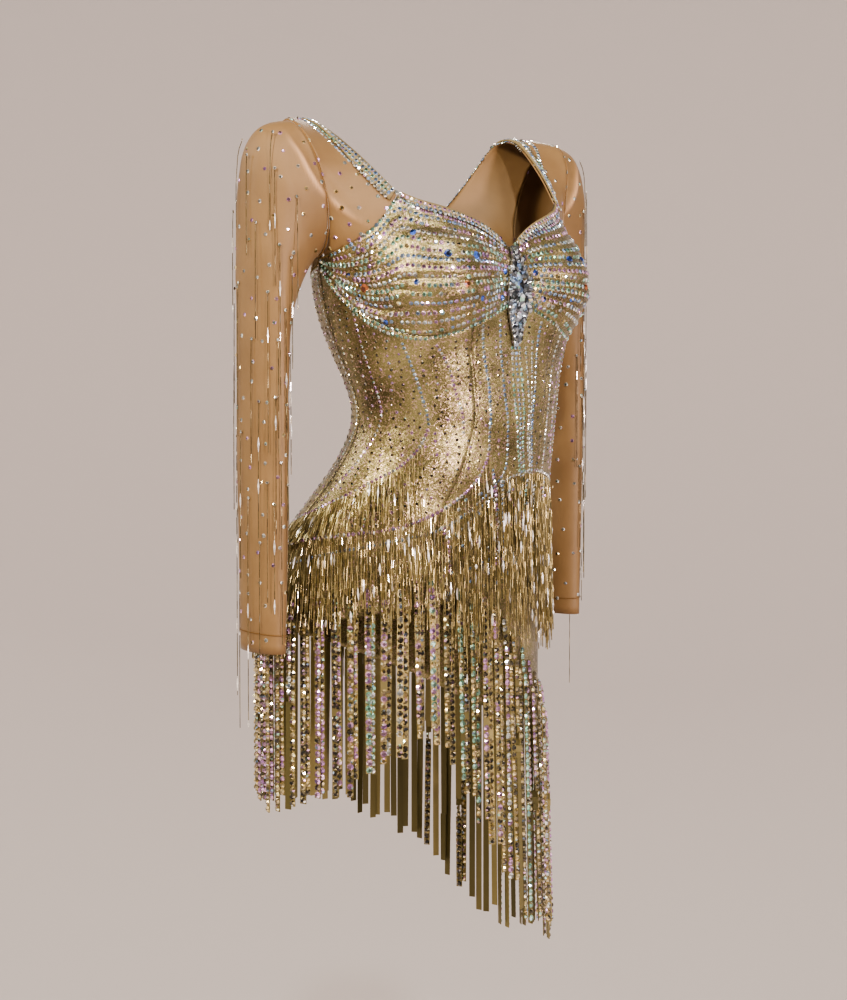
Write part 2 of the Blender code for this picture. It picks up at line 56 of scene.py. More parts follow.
SATIN_SHADE = "#37301D"
SATIN_LIGHT = "#9A9163"
# painted pink glint: the colour mixed into a share of the foil's flecks
SATIN_PAINTED_PINK_GLINT = "#CBA69C"
SATIN_GRAIN_MM = 0.7       # drawn coarser than the real 0.3 mm knit, which is too fine to show
FLECK_MM = 1.4             # the foil breaks up into flecks as the knit stretches, each lying its own way
FLECK_LEAN = 0.27          # how far a fleck leans out of the cloth
SHARP = 0.9                # an edge of cloth that turns by more than this many radians stays sharp


def linear(code):
    """A colour written as an sRGB hex value, turned to linear."""
    channels = [int(code[i:i + 2], 16) / 255 for i in (1, 3, 5)]
    return (*[c / 12.92 if c <= 0.04045 else ((c + 0.055) / 1.055) ** 2.4 for c in channels], 1.0)


def add(tree, kind, inputs=None, **settings):
    """Adds a node with its settings, and sets or links each named input."""
    node = tree.nodes.new(kind)
    for name, value in settings.items():
        setattr(node, name, value)
    for name, value in (inputs or {}).items():
        if isinstance(value, bpy.types.NodeSocket):
            tree.links.new(value, node.inputs[name])
        else:
            node.inputs[name].default_value = value
    return node


def finish_named(name, **constants):
    """A new material, its tree and its shader with the given constants on the shader's own sockets."""
    made = bpy.data.materials.new(name)
    made.use_nodes = True
    shader = made.node_tree.nodes["Principled BSDF"]
    for key, value in constants.items():
        shader.inputs[key.replace("_", " ")].default_value = value
    return made, made.node_tree, shader


def wired(shader, **sockets):
    """Links each named socket of the shader."""
    for key, socket in sockets.items():
        shader.id_data.links.new(socket, shader.inputs[key.replace("_", " ")])


def pattern(tree, kind, scale, **inputs):
    """A texture read at the place of each point in the part."""
    place = add(tree, "ShaderNodeTexCoord")
    return add(tree, kind, {"Vector": place.outputs["Object"], "Scale": scale, **inputs})


def blend(tree, factor, a, b):
    """A mix of two colours."""
    return add(tree, "ShaderNodeMix", {"Factor": factor, "A": a, "B": b}, data_type="RGBA").outputs["Result"]


def remap(tree, value, low, high, to_low=0.0, to_high=1.0):
    """A value stretched from one range on to another."""
    return add(tree, "ShaderNodeMapRange", {"Value": value, "From Min": low, "From Max": high,
                                            "To Min": to_low, "To Max": to_high}).outputs[0]


def foil_satin():
    made, tree, shader = finish_named("foil_printed_stretch_satin", Metallic=0.8, Sheen_Weight=0.05,
                                      Sheen_Roughness=0.4)
    cloudy = pattern(tree, "ShaderNodeTexNoise", 26.0, Detail=3.0).outputs["Fac"]
    grain = pattern(tree, "ShaderNodeTexNoise", 1 / (SATIN_GRAIN_MM * MM), Detail=2.0).outputs["Fac"]
    flecks = pattern(tree, "ShaderNodeTexVoronoi", 1 / (FLECK_MM * MM)).outputs["Color"]
    both = add(tree, "ShaderNodeMath", {0: cloudy, 1: grain}, operation="ADD").outputs[0]
    tone = blend(tree, remap(tree, both, 0.7, 1.3), linear(SATIN_SHADE), linear(SATIN_LIGHT))
    red = add(tree, "ShaderNodeSeparateColor", {"Color": flecks}).outputs["Red"]
    # painted reflection: a random share of the flecks, by their red channel, is tinted pink as a painted pink
    # glint
    flecked = blend(tree, remap(tree, red, 0.72, 1.0, 0.0, 0.62), tone, linear(SATIN_PAINTED_PINK_GLINT))
    lean = add(tree, "ShaderNodeVectorMath", {0: flecks, 1: (0.5, 0.5, 0.5)}, operation="SUBTRACT")
    little = add(tree, "ShaderNodeVectorMath", {0: lean.outputs[0], "Scale": FLECK_LEAN}, operation="SCALE")
    surface = add(tree, "ShaderNodeNewGeometry")
    tilted = add(tree, "ShaderNodeVectorMath", {0: surface.outputs["Normal"], 1: little.outputs[0]})
    facing = add(tree, "ShaderNodeVectorMath", {0: tilted.outputs[0]}, operation="NORMALIZE")
    bump = add(tree, "ShaderNodeBump", {"Height": grain, "Strength": 0.6, "Distance": 0.3 * MM,
                                        "Normal": facing.outputs[0]})
    wired(shader, Base_Color=flecked, Roughness=remap(tree, grain, 0.35, 0.65, 0.2, 0.42),
          Normal=bump.outputs["Normal"])
    return made


def mesh_of(bm, name):
    """Ends a bmesh as a mesh."""
    mesh = bpy.data.meshes.new(name)
    bm.to_mesh(mesh)
    bm.free()
    return mesh


def linked(name, data):
    """A new object in the scene."""
    made = bpy.data.objects.new(name, data)
    bpy.context.scene.collection.objects.link(made)
    return made


def baked(guide):
    """The mesh that a guide comes to with its modifiers or its bevel; the guide itself goes."""
    mesh = bpy.data.meshes.new_from_object(guide.evaluated_get(bpy.context.evaluated_depsgraph_get()))
    bpy.data.objects.remove(guide)
    return mesh


def smooth_copy(node, levels):
    """A finer copy of a node's wall: its points merged, its faces rounded, the edges of the wall kept."""
    bm = bmesh.new()
    bm.from_mesh(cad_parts[node].data)
    bmesh.ops.remove_doubles(bm, verts=bm.verts, dist=0.02 * MM)
    bmesh.ops.join_triangles(bm, faces=bm.faces, angle_face_threshold=0.6, angle_shape_threshold=0.9)
    crease = bm.edges.layers.float.new("crease_edge")
    for edge in bm.edges:
        edge[crease] = 1.0 if edge.calc_face_angle(0.0) > SHARP else 0.0
    coarse = linked("coarse", mesh_of(bm, node))
    rounded = coarse.modifiers.new("rounded", "SUBSURF")
    rounded.levels = rounded.render_levels = levels
    return baked(coarse)


def lifts(points, folds):
    """How far each point is raised by the folds, in mm. A fold is a path, then its half width and its
    height, also in mm."""
    spots = np.array(points) / MM
    moves = np.zeros(len(spots))
    for *path, width, height in folds:
        nearest, along = np.full(len(spots), 1e6), np.zeros(len(spots))
        for i, (start, end) in enumerate(zip(np.array(path[:-1], float), np.array(path[1:], float))):
            way = end - start
            share = np.clip((spots - start) @ way / (way @ way), 0, 1)
            far = np.linalg.norm(spots - start - share[:, None] * way, axis=1)
            along = np.where(far < nearest, (i + share) / (len(path) - 1), along)
            nearest = np.minimum(far, nearest)
        fade = np.sin(math.pi * np.clip(along, 0.02, 0.98)) ** 0.6
        moves += np.where(nearest < 2.5 * width, height * np.exp(-(nearest / width) ** 2) * fade, 0.0)
    return moves


def pressed(mesh, folds, outward):
    """Raises or sinks the points of a mesh near each fold."""
    moves = lifts([v.co for v in mesh.vertices], folds)
    for index in np.flatnonzero(moves):
        point = mesh.vertices[int(index)]
        point.co += outward(point.co) * float(moves[index]) * MM
    return mesh


def piece(name, mesh, finish):
    """Puts a piece in the scene, in one finish, to ride on the dress."""
    mesh.materials.clear()
    mesh.materials.append(finish)
    made = linked(name, mesh)
    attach(made, "root")
    return made


def cloth(node, mesh, finish):
    """A cloth piece: it stands for its solid."""
    made = piece(node + "_cloth", mesh, finish)
    mesh.shade_smooth()
    mesh.set_sharp_from_angle(angle=SHARP)
    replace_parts(made, node)


def from_axis(point):
    """Outwards from the middle of the trunk."""
    return Vector((point.x, point.y + 0.02, 0)).normalized()


GOLD_SATIN = foil_satin()
WAIST_FOLDS = (
    # start, end, half width, height: the belly and the rib below the cup, then small drags at the waist
    ((-96, -108, -362), (50, -130, -372), 26, 4.0),
    ((-92, -112, -258), (-35, -140, -262), 17, 2.2),
    ((-125, -70, -300), (-60, -140, -318), 7, -0.9),
    ((-120, -62, -330), (-50, -142, -345), 8, 0.9),
    ((130, -60, -292), (70, -135, -306), 7, -0.9),
    ((120, -40, -338), (60, -135, -352), 8, 0.8),
    ((-100, 15, -300), (-30, 45, -322), 8, -1.1),
    ((110, 12, -295), (30, 45, -316), 8, -1.1),
    ((-60, 40, -270), (60, 42, -282), 9, -0.9),
)
CUP_MM = (
    # angle round the trunk, upper edge, lower edge
    (0, -137, -188), (7.5, -122, -197), (15, -111, -206), (30, -98, -221), (40, -91, -227), (47, -84, -228),
    (56, -108, -225), (65, -124, -218), (75, -135, -204), (90, -145, -176), (100, -148.2, -151.5),
)
PLEAT_VALLEYS = (
    # share of the way up the cup, half width in mm, depth in mm: the draped folds are deepest low down
    (0.06, 4.0, 1.0), (0.2, 3.6, 3.0), (0.31, 2.6, 1.5), (0.4, 3.4, 3.2), (0.52, 2.8, 1.3), (0.6, 3.4, 2.2),
    (0.8, 3.4, 1.3), (0.91, 2.6, 0.7),
)


def pleated(mesh, side):
    """Deepens the folds of a draped cup, each wandering a little on its way from the side to the middle."""
    for point in mesh.vertices:
        angle = abs(math.degrees(math.atan2(point.co.x / 0.15, -(point.co.y + 0.033) / 0.106)))
        angles, *edges = zip(*CUP_MM)
        upper, lower = (np.interp(angle, angles, heights) for heights in edges)
        tall = max(upper - lower, 8.0)
        move = 0.0
        for number, (share, width, depth) in enumerate(PLEAT_VALLEYS):
            wander = 0.02 * math.sin(angle / 11 + number * 2.1 + side)
            off = (point.co.z / MM - lower - (share + wander) * tall) / width
            fade = min(angle / 16, 1.0) * min((100 - angle) / 16, 1.0)
            ends = fade * (0.7 + 0.3 * math.sin(angle / 9 + number))
            move -= depth * math.exp(-off * off) * max(ends, 0.0)
        point.co += from_axis(point.co) * move * MM


SATIN_PIECES = (
    # node, width and length of the cut, flat area
    ("front_centre", 0.130, 0.42, 0.039),
    ("front_side_right", 0.176, 0.39, 0.049),
    ("front_side_left", 0.179, 0.53, 0.072),
    ("back_right", 0.201, 0.45, 0.073),
    ("back_left", 0.201, 0.53, 0.087),
    ("cup_right", 0.245, 0.18, 0.027),
    ("cup_left", 0.245, 0.18, 0.027),
)
for NODE, WIDTH, LENGTH, AREA in SATIN_PIECES:
    shell = pressed(smooth_copy(NODE, 2), WAIST_FOLDS, from_axis)
    if NODE.startswith("cup"):
        pleated(shell, 1 if NODE.endswith("left") else -1)
    cloth(NODE, shell, GOLD_SATIN)

# ---------------------------------------------------------------- nude net yoke and sleeves
# Fine nude stretch net, cut on the fold and sewn to the satin. It is nearly opaque in two layers and matt.
# Along the crest of the sharp crease over each shoulder, where it is drawn tight, its colour is painted
# paler: a painted highlight.

NET_SHADE = "#624929"
NET_LIGHT = "#856943"
NET_PAINTED_RIDGE_HIGHLIGHT = "#E2B48A"      # painted highlight, mixed in along the crest of a crease
NET_MESH_MM = 1.1          # drawn coarser than the real 0.5 mm holes


def nude_net():
    made, tree, shader = finish_named("nude_stretch_net", Roughness=0.62, Sheen_Weight=0.12,
                                      Sheen_Roughness=0.35, Alpha=0.93)
    cloudy = pattern(tree, "ShaderNodeTexNoise", 18.0, Detail=3.0).outputs["Fac"]
    holes = pattern(tree, "ShaderNodeTexVoronoi", 1 / (NET_MESH_MM * MM), Randomness=0.35).outputs["Distance"]
    tone = blend(tree, cloudy, linear(NET_SHADE), linear(NET_LIGHT))
    # painted highlight: the marked crease crests take a paler colour
    drawn = add(tree, "ShaderNodeAttribute", attribute_name="drawn").outputs["Fac"]
    bump = add(tree, "ShaderNodeBump", {"Height": holes, "Strength": 0.3, "Distance": 0.2 * MM})
    wired(shader, Base_Color=blend(tree, drawn, tone, linear(NET_PAINTED_RIDGE_HIGHLIGHT)), Normal=bump.outputs["Normal"])
    return made


def from_sleeve(point):
    """Outwards from the middle of a sleeve."""
    side = 1 if point.x > 0 else -1
    return Vector((point.x - side * 0.208, point.y * 0.5, 0)).normalized()


def from_shoulder(point):
    """Outwards and up from the middle of the chest."""
    return Vector((point.x, point.y + 0.02, point.z + 0.16)).normalized()


NUDE_NET = nude_net()
YOKE_FOLDS = (
    # start, end, half width, height: the net is drawn up from the armpit to the shoulder
    ((-152, -55, -95), (-165, -30, -25), 7, 1.8),
    ((-135, -75, -105), (-152, -58, -60), 8, -1.4),
    ((152, -55, -95), (165, -30, -25), 7, 1.6),
    ((130, -78, -100), (150, -58, -62), 8, -1.2),
    ((-150, 50, -110), (-120, 70, -60), 9, 1.2),
    ((150, 52, -115), (122, 70, -66), 9, 1.2),
)
SLEEVE_FOLDS = (
    # start, end, half width, height, for the left sleeve; the right one is its mirror image
    ((178, -38, -150), (215, -44, -60), 7, 1.6),
    ((182, -36, -190), (226, -30, -110), 8, -1.5),
    ((186, -32, -225), (222, -34, -165), 7, 1.3),
    ((188, 30, -230), (226, 26, -150), 8, 1.3),
    ((190, -34, -300), (226, -24, -268), 8, -1.6),
    ((192, -30, -330), (228, -16, -312), 7, 1.4),
    ((190, 30, -300), (227, 20, -276), 8, -1.6),
    ((191, -30, -362), (226, -20, -350), 8, -1.2),
    ((192, -26, -520), (225, -24, -528), 6, -0.9),
    ((192, 24, -505), (225, 22, -516), 6, 0.9),
)
ARMHOLE_FOLDS = (
    # a sharp crease runs down in front of each shoulder and over the armhole to the cup, a hollow beside it
    ((203, -30, -22), (201, -39, -34), (195, -46, -47), (189, -50, -62), (180, -53, -76), (170, -55, -87),
     (159, -59, -97), (148, -70, -108), (136, -84, -119), 3.6, 3.4),
    ((190, -26, -12), (187, -40, -36), (176, -50, -62), (163, -54, -80), (146, -66, -96), 6, -1.5),
)


def toward_front(point):
    """Outwards from the front of an armhole, the same for the sleeve and for the yoke that meet there."""
    return Vector((0.35 if point.x > 0 else -0.35, -0.85, 0.4)).normalized()


def mark_painted_ridge_highlight(mesh, folds):
    """Marks how far each point lies on the crest of a crease, where the finish paints a paler highlight."""
    crest = np.clip(lifts([v.co for v in mesh.vertices], folds) / folds[0][-1], 0, 1) ** 2
    mark = mesh.attributes.get("drawn") or mesh.attributes.new("drawn", "FLOAT", "POINT")
    before = np.zeros(len(crest))
    mark.data.foreach_get("value", before)
    mark.data.foreach_set("value", np.maximum(before, crest * 0.6))


def mirrored(folds, flip):
    """The folds of a left piece, or of its mirror image."""
    return [(*((flip * x, y, z) for x, y, z in path), width, height) for *path, width, height in folds]


def creased(mesh, *sides):
    """Presses the creases of the armholes into a piece that meets them, and marks the first one's crest for
    the painted highlight.
    """
    for side in sides:
        mark_painted_ridge_highlight(mesh, mirrored(ARMHOLE_FOLDS[:1], side))
        pressed(mesh, mirrored(ARMHOLE_FOLDS, side), toward_front)
    return mesh


NET_PIECES = (
    ("yoke_front_right", 0.085, 0.155, 0.0090),
    ("yoke_front_left", 0.085, 0.155, 0.0090),
    ("yoke_back", 0.377, 0.19, 0.040),
)
for NODE, WIDTH, LENGTH, AREA in NET_PIECES:
    shell = creased(pressed(smooth_copy(NODE, 2), YOKE_FOLDS, from_shoulder), -1, 1)
    cloth(NODE, shell, NUDE_NET)
for NODE, SIDE in (("sleeve_right", -1), ("sleeve_left", 1)):
    shell = creased(pressed(smooth_copy(NODE, 3), mirrored(SLEEVE_FOLDS, SIDE), from_sleeve), SIDE)
    cloth(NODE, shell, NUDE_NET)

# ---------------------------------------------------------------- seams and stitches of the net
# Four-thread overlock: a cord of nude thread lies in the seam round each armhole, and a line of stitches runs
# round each cuff, where its hem is turned up 20 mm.

SLEEVE_MM = (
    # run, outer line x and z, inner line x and z, centre y, half depth
    (0, 188.7, -7, 153.3, -147.3, -12, 42.2), (0.5, 207, -9, 163, -158, -9, 44),
    (1, 221, -16, 172, -177, -5, 45), (1.5, 229, -38, 180, -202, -2, 44), (2, 230, -82, 187, -228, 0, 42),
    (3, 229, -170, 191, -264, 0, 41), (4, 229, -245, 192, -310, 0, 41), (5, 229, -325, 192, -362, 0, 40),
    (6, 228, -425, 193, -440, 0, 38), (7, 227, -551, 195, -551, 0, 35),
)


def table(rows, at):
    """The columns after the first, read at a value of the first, on a smooth curve through the rows."""
    keys = [row[0] for row in rows]
    at = min(max(at, keys[0]), keys[-1])
    i = min(max(int(np.searchsorted(keys, at)) - 1, 0), len(rows) - 2)
    t = (at - keys[i]) / (keys[i + 1] - keys[i])
    read = []
    for column in range(1, len(rows[0])):
        values = [row[column] for row in rows]

        def slope(j):
            low, high = max(j - 1, 0), min(j + 1, len(rows) - 1)
            return (values[high] - values[low]) / (keys[high] - keys[low]) * (keys[i + 1] - keys[i])
        read.append(values[i] * (2 * t**3 - 3 * t**2 + 1) + slope(i) * (t**3 - 2 * t**2 + t)
                    + values[i + 1] * (3 * t**2 - 2 * t**3) + slope(i + 1) * (t**3 - t**2))
    return read


def sleeve(turn, run):
    """A point of the left sleeve's outer face, at a turn from its outer line and a run along it."""
    outer_x, outer_z, inner_x, inner_z, centre_y, half = (v * MM for v in table(SLEEVE_MM, run))
    t = math.radians(turn)
    return Vector(((outer_x + inner_x) / 2 + (outer_x - inner_x) / 2 * math.cos(t),
                   centre_y + half * math.sin(t),
                   (outer_z + inner_z) / 2 + (outer_z - inner_z) / 2 * math.cos(t)))


def sleeve_way(turn):
    """The level way out of the left sleeve at a turn."""
    return Vector((math.cos(math.radians(turn)), 1.1 * math.sin(math.radians(turn)), 0)).normalized()


def on_side(point, side):
    """A point or way of the left side, or its mirror image."""
    return Vector((side * point.x, point.y, point.z))


def name_of(side):
    return "left" if side > 0 else "right"


def thread(name, path, finish, thick, closed=False):
    """A cord of thread through the points of a path, as many mm thick as is said."""
    curve = bpy.data.curves.new(name, "CURVE")
    curve.dimensions = "3D"
    curve.bevel_depth = thick / 2 * MM
    curve.bevel_resolution = 1
    curve.use_fill_caps = not closed
    line = curve.splines.new("POLY")
    line.points.add(len(path) - 1)
    for point, place in zip(line.points, path):
        point.co = (*place, 1)
    line.use_cyclic_u = closed
    mesh = baked(linked(name, curve))
    mesh.shade_smooth()
    piece(name, mesh, finish)


def twisted(name, colour):
    """Polyester thread, lightly twisted."""
    made, tree, shader = finish_named(name, Roughness=0.95, Specular_IOR_Level=0.1)
    twist = pattern(tree, "ShaderNodeTexWave", 520.0, Distortion=1.0).outputs["Fac"]
    dull = linear(colour)
    wired(shader, Base_Color=blend(tree, twist, dull, [c * 1.25 for c in dull[:3]] + [1.0]))
    return made


def armhole_seam(side):
    """A cord in the seam round an armhole, which is an ellipse in a slanting plane."""
    path = []
    for step in range(72):
        across, up = math.sin(math.tau * step / 72), math.cos(math.tau * step / 72)
        path.append(Vector((side * (170 - 18 * up), -12 - 41 * across, -77 - 69 * up)) * MM)
    raised = lifts(path, mirrored(ARMHOLE_FOLDS, side))
    path = [point + toward_front(point) * (float(lift) - 0.7) * MM for point, lift in zip(path, raised)]
    thread("armhole_seam_" + name_of(side), path, SEAM_THREAD, 1.6, closed=True)


def cuff_stitches(side):
    path = []
    for step in range(48):
        turn = 7.5 * step
        path.append(on_side(sleeve(turn, CUFF_RUN), side) + on_side(sleeve_way(turn), side) * 0.1 * MM)
    thread("cuff_stitches_" + name_of(side), path, NUDE_THREAD, 0.7, closed=True)


CUFF_RUN = 6.84            # how far down the sleeve the stitches run
NUDE_THREAD = twisted("nude_overlock_thread", "#5E4526")
SEAM_THREAD = twisted("nude_seam_cord", "#6E5332")
for SIDE in (-1, 1):
    armhole_seam(SIDE)
    cuff_stitches(SIDE)

# ---------------------------------------------------------------- seams of the satin
# Down the princess, side and centre back seams a narrow band of the same satin is laid flat over the two
# edges and stitched down. A cord of gold thread lies where the net yoke is overlocked to the satin.

TRUNK_MM = (
    # z, centre x, centre y, half width, front, back: the sections that the cloth was cut to
    (-700, -7, 23, 167, 130, 130),
    (-560, -7, 23, 167, 130, 130),
    (-520, -7, 22, 167, 130, 130),
    (-480, -6, 13, 164, 124, 127),
    (-431, -4, -6, 156, 112, 113),
    (-408, -2, -17, 149, 104, 104),
    (-375, 4, -31, 134, 98, 98),
    (-340, 8, -42, 122, 95, 93),
    (-312, 9, -48, 118, 96, 92),
    (-282, 8, -46, 124, 99, 95),
    (-235, 5, -41, 138, 105, 114),
    (-190, 3, -38, 149, 105, 125),
    (-147, 1, -33, 150, 106, 119),
    (-84, 0, -22, 149, 103, 106),
)
HEM_MM = (
    # angle, the cloth's lower edge, the strips' tips
    (-180, -585, -762), (-150, -556, -740), (-120, -538, -730), (-90, -528, -722), (-60, -521, -704),
    (-45, -515, -684), (-32, -510, -660), (-22, -510, -642), (-13, -517, -690), (0, -532, -744),
    (10, -555, -802), (20, -585, -848), (40, -636, -888), (70, -668, -908), (100, -670, -922),
    (120, -658, -888), (140, -632, -828), (180, -585, -762),
)
BACK_TOP_MM = ((100, -152.6), (120, -162), (150, -182), (180, -190))
BESIDE_SEAM = 0.5          # degrees either side of a seam, where there is cloth to read and no gap
PANEL_SEAMS = ((-100, -153), (-24, -218), (24, -218), (100, -153), (180, -193))      # angle, top in mm


def trunk(angle, z):
    """A point of the trunk's section, without the bust, and the level way out from it. z is in metres."""
    centre_x, centre_y, half, front, back = (v * MM for v in table(TRUNK_MM, z / MM))
    turn = math.radians(angle)
    depth = front if math.cos(turn) > 0 else back
    point = Vector((centre_x + half * math.sin(turn), centre_y - depth * math.cos(turn), z))
    return point, Vector((math.sin(turn) / half, -math.cos(turn) / depth, 0)).normalized()


def tree_of(*meshes):
    """One search tree for several meshes."""
    points, faces = [], []
    for mesh in meshes:
        faces += [[len(points) + i for i in face.vertices] for face in mesh.polygons]
        points += [v.co for v in mesh.vertices]
    return BVHTree.FromPolygons(points, faces)


def cloth_mesh(node):
    return bpy.data.objects[node + "_cloth"].data


def around(angle, z):
    """The outside of the cloth at an angle and height of the trunk, and the way that it faces."""
    for shift in (0, 0.4, -0.4):
        point, out = trunk(angle + shift, z)
        hit, normal, _, _ = BODY_TREE.ray_cast(point + out * 0.12, -out)
        if hit and (hit - point).dot(out) > -0.03:
            return hit, normal
    return point + out * 3 * MM, out


def flat_seam(name, across):
    """A band 0.4 mm thick over a seam, through pairs of points beside it and the way that each pair faces."""
    bm = bmesh.new()
    bmesh.ops.create_grid(bm, x_segments=2, y_segments=len(across) - 1, size=0.5)
    for vert in bm.verts:
        before, after, facing = across[round((vert.co.y + 0.5) * (len(across) - 1))]
        rise = 0.16 if abs(vert.co.x) < 0.1 else 0.05
        vert.co = before.lerp(after, vert.co.x + 0.5) + facing * rise * MM
    bmesh.ops.recalc_face_normals(bm, faces=bm.faces)
    bmesh.ops.solidify(bm, geom=bm.faces[:], thickness=0.4 * MM)
    mesh = mesh_of(bm, name)
    mesh.shade_smooth()
    mesh.set_sharp_from_angle(angle=SHARP)
    piece(name, mesh, GOLD_SATIN)


def panel_seams():
    for angle, top in PANEL_SEAMS:
        low = table(HEM_MM, angle)[0]
        across = []
        for i in range(61):
            z = (top + (low + 2 - top) * i / 60) * MM
            (before, facing), (after, beyond) = around(angle - BESIDE_SEAM, z), around(angle + BESIDE_SEAM, z)
            across.append((before, after, (facing + beyond).normalized()))
        flat_seam(f"panel_seam_{angle % 360}", across)


def yoke_seam(side):
    edge = [(side * angle, table(CUP_MM, angle)[0] - 0.6) for angle in range(48, 100, 2)]
    edge += [(side * angle, table(BACK_TOP_MM, angle)[0] - 0.8) for angle in range(101, 181, 3)]
    path = [around(angle, z * MM)[0] for angle, z in edge]
    thread("yoke_seam_" + name_of(side), path, GOLD_THREAD, 1.6)


BODY_TREE = tree_of(*(cloth_mesh(NODE) for NODE, *_ in SATIN_PIECES))
GOLD_THREAD = twisted("gold_overlock_thread", "#6E5C3A")
panel_seams()
yoke_seam(-1)
yoke_seam(1)

# ---------------------------------------------------------------- crystals on the satin
# Flat-backed glass crystals with an aurora coating, heat-set one by one: spaced out in staggered rows over
# the whole body, close together along the swooping lines and in rows across the cups, with a few large
# coloured ones.

AURORA = {
    # what each coating flashes, its commonest colour first
    "clear": ("#E2E4DC", "#B9C2BA", "#F4F1E8", "#98A198"),
    "gold": ("#CDBB8C", "#A38C55", "#F0E4BC", "#6F6136"),
    "rose": ("#D2A6C4", "#B98AC6", "#EBCFD6", "#A98BC8"),
    "ice": ("#A6BFDA", "#7F9CCB", "#D5E2EA", "#8FB4BE"),
    "mint": ("#A4CDB8", "#7DB39A", "#D2E8DA", "#8CBAC6"),
    "sapphire": ("#4468C0", "#27438C", "#8CA8E8", "#5A7FD0"),
    "topaz": ("#C87C4E", "#9A5230", "#EDB083", "#D9925E"),
    "smoke": ("#877B5E", "#4A432E", "#EADFC6", "#C79FB4"),
    "silver": ("#A2A9B0", "#5E666F", "#E6EAEC", "#343A42"),
}


def spaced(line, pitch, reach=around):
    """Points every pitch along a line of (angle, height in mm) stations, drawn on the cloth."""
    keyed = [(i, *station) for i, station in enumerate(line)]
    found, walked, last = [], pitch, None
    for step in range(40 * (len(line) - 1) + 1):
        angle, height = table(keyed, step / 40)
        at, facing = reach(angle, height * MM)
        if last is not None:
            walked += (at - last).length
        last = at
        if walked >= pitch:
            found.append((at, facing))
            walked = 0.0
    return found


def seated(at, facing, size, draw, sink=0.1):
    """The matrix that sets a stone of radius 1 on the cloth, turned anyhow and a little off true."""
    tilt = Vector((draw.uniform(-1, 1), draw.uniform(-1, 1), draw.uniform(-1, 1))) * 0.09
    up = (facing + tilt).normalized()
    turn = up.to_track_quat("Z", "Y").to_matrix() @ Matrix.Rotation(draw.uniform(0, math.tau), 3, "Z")
    return Matrix.Translation(at - up * sink * size) @ (turn * size).to_4x4()


def facet_colours_with_painted_glints(hue, faces, draw, table_faces=(0,)):
    """A colour for each face of one stone: a painted dark reflection on its table, painted glints on a few
    crown facets.
    """
    colours = [linear(c) for c in AURORA[hue]]
    glow = draw.uniform(0.8, 1.25)
    found = []
    for face in range(faces):
        colour = colours[min(int(draw.expovariate(1.1)), 3)]
        if draw.random() < 0.10:
            colour = linear(AURORA[draw.choice(("rose", "ice", "mint", "gold"))][0])
        # painted light: tables painted dark, darkest on the dark smoke and silver stones; half the crown
        # facets get a painted glint
        dark, lit = ((0.02, 0.1), (0.2, 0.5)) if hue in ("smoke", "silver") else ((0.15, 0.4), (0.45, 0.8))
        if face in table_faces:
            levels = dark
        else:
            levels = (1.0, 1.6) if draw.random() < 0.5 else lit
        level = glow * draw.uniform(*levels)
        found.append([min(c * level, 1.0) for c in colour[:3]] + [1.0])
    return found


def joined(name, shape, places, tints, finish):
    """One mesh of many copies of a small shape, with a colour for each face in the attribute "tint"."""
    corners = np.array([v.co[:] for v in shape.vertices])
    faces = [list(face.vertices) for face in shape.polygons]
    places = np.array([[row[:] for row in place] for place in places])
    spots = np.einsum("nij,vj->nvi", places[:, :3, :3], corners) + places[:, None, :3, 3]
    mesh = bpy.data.meshes.new(name)
    mesh.from_pydata(spots.reshape(-1, 3).tolist(), [],
                     [[n * len(corners) + i for i in face] for n in range(len(places)) for face in faces])
    layer = mesh.color_attributes.new("tint", "FLOAT_COLOR", "CORNER")
    counts = np.tile([len(face) for face in faces], len(places))
    layer.data.foreach_set("color", np.repeat(np.array(tints).reshape(-1, 4), counts, axis=0).ravel())
    return piece(name, mesh, finish)


def cut_stone(sides, flat, height):
    """A flat-backed crystal of radius 1: crown facets round a flat table. The table is its last face."""
    bm = bmesh.new()
    bmesh.ops.create_cone(bm, cap_ends=True, segments=sides, radius1=1, radius2=flat, depth=height)
    bmesh.ops.translate(bm, verts=bm.verts, vec=(0, 0, height / 2))
    return mesh_of(bm, "stone")


def flat_faces(shape):
    """Which faces of a small shape are its tables and backs."""
    return [face.index for face in shape.polygons if abs(face.normal.z) > 0.95]


def tinted_glass(name, scale, low, high, **constants):
    """Glass over foil, tinted face by face by the attribute, which carries any painted glints and dark
    tables, and faintly clouded.
    """
    made, tree, shader = finish_named(name, **constants)
    tint = add(tree, "ShaderNodeVertexColor", layer_name="tint").outputs["Color"]
    cloudy = pattern(tree, "ShaderNodeTexNoise", scale, Detail=1.0).outputs["Fac"]
    level = remap(tree, cloudy, 0.3, 0.7, low, high)
    tone = add(tree, "ShaderNodeVectorMath", {0: tint, "Scale": level}, operation="SCALE")
    wired(shader, Base_Color=tone.outputs[0])
    return made


SMALL_STONE = cut_stone(6, 0.6, 0.5)
LARGE_STONE = cut_stone(8, 0.5, 0.6)
AURORA_GLASS = tinted_glass("aurora_coated_glass_crystal", 900.0, 0.75, 1.25, Metallic=0.72, Roughness=0.14,
                            Coat_Weight=1.0, Coat_Roughness=0.04)


def stones(name, wanted, shape=SMALL_STONE, finish=AURORA_GLASS, seed=1):
    """Sets the wanted stones, each (point, facing, diameter in mm, hue), in one mesh."""
    draw = random.Random(seed)
    flats, faces = flat_faces(shape), len(shape.polygons)
    return joined(name, shape, [seated(at, facing, size / 2 * MM, draw) for at, facing, size, _ in wanted],
                  [facet_colours_with_painted_glints(hue, faces, draw, flats) for *_, hue in wanted], finish)


UNDER_CUP = ((1, -191), (15, -209), (30, -224), (45, -231), (56, -228), (65, -221), (75, -207), (90, -180),
             (99, -158))
BACK_EDGE = ((101, -158), (120, -167), (150, -187), (179, -195))


def both_sides(hue, size, pitch, line):
    """A line of stones and its mirror image."""
    return [(hue, size, pitch, [(side * angle, height) for angle, height in line]) for side in (1, -1)]


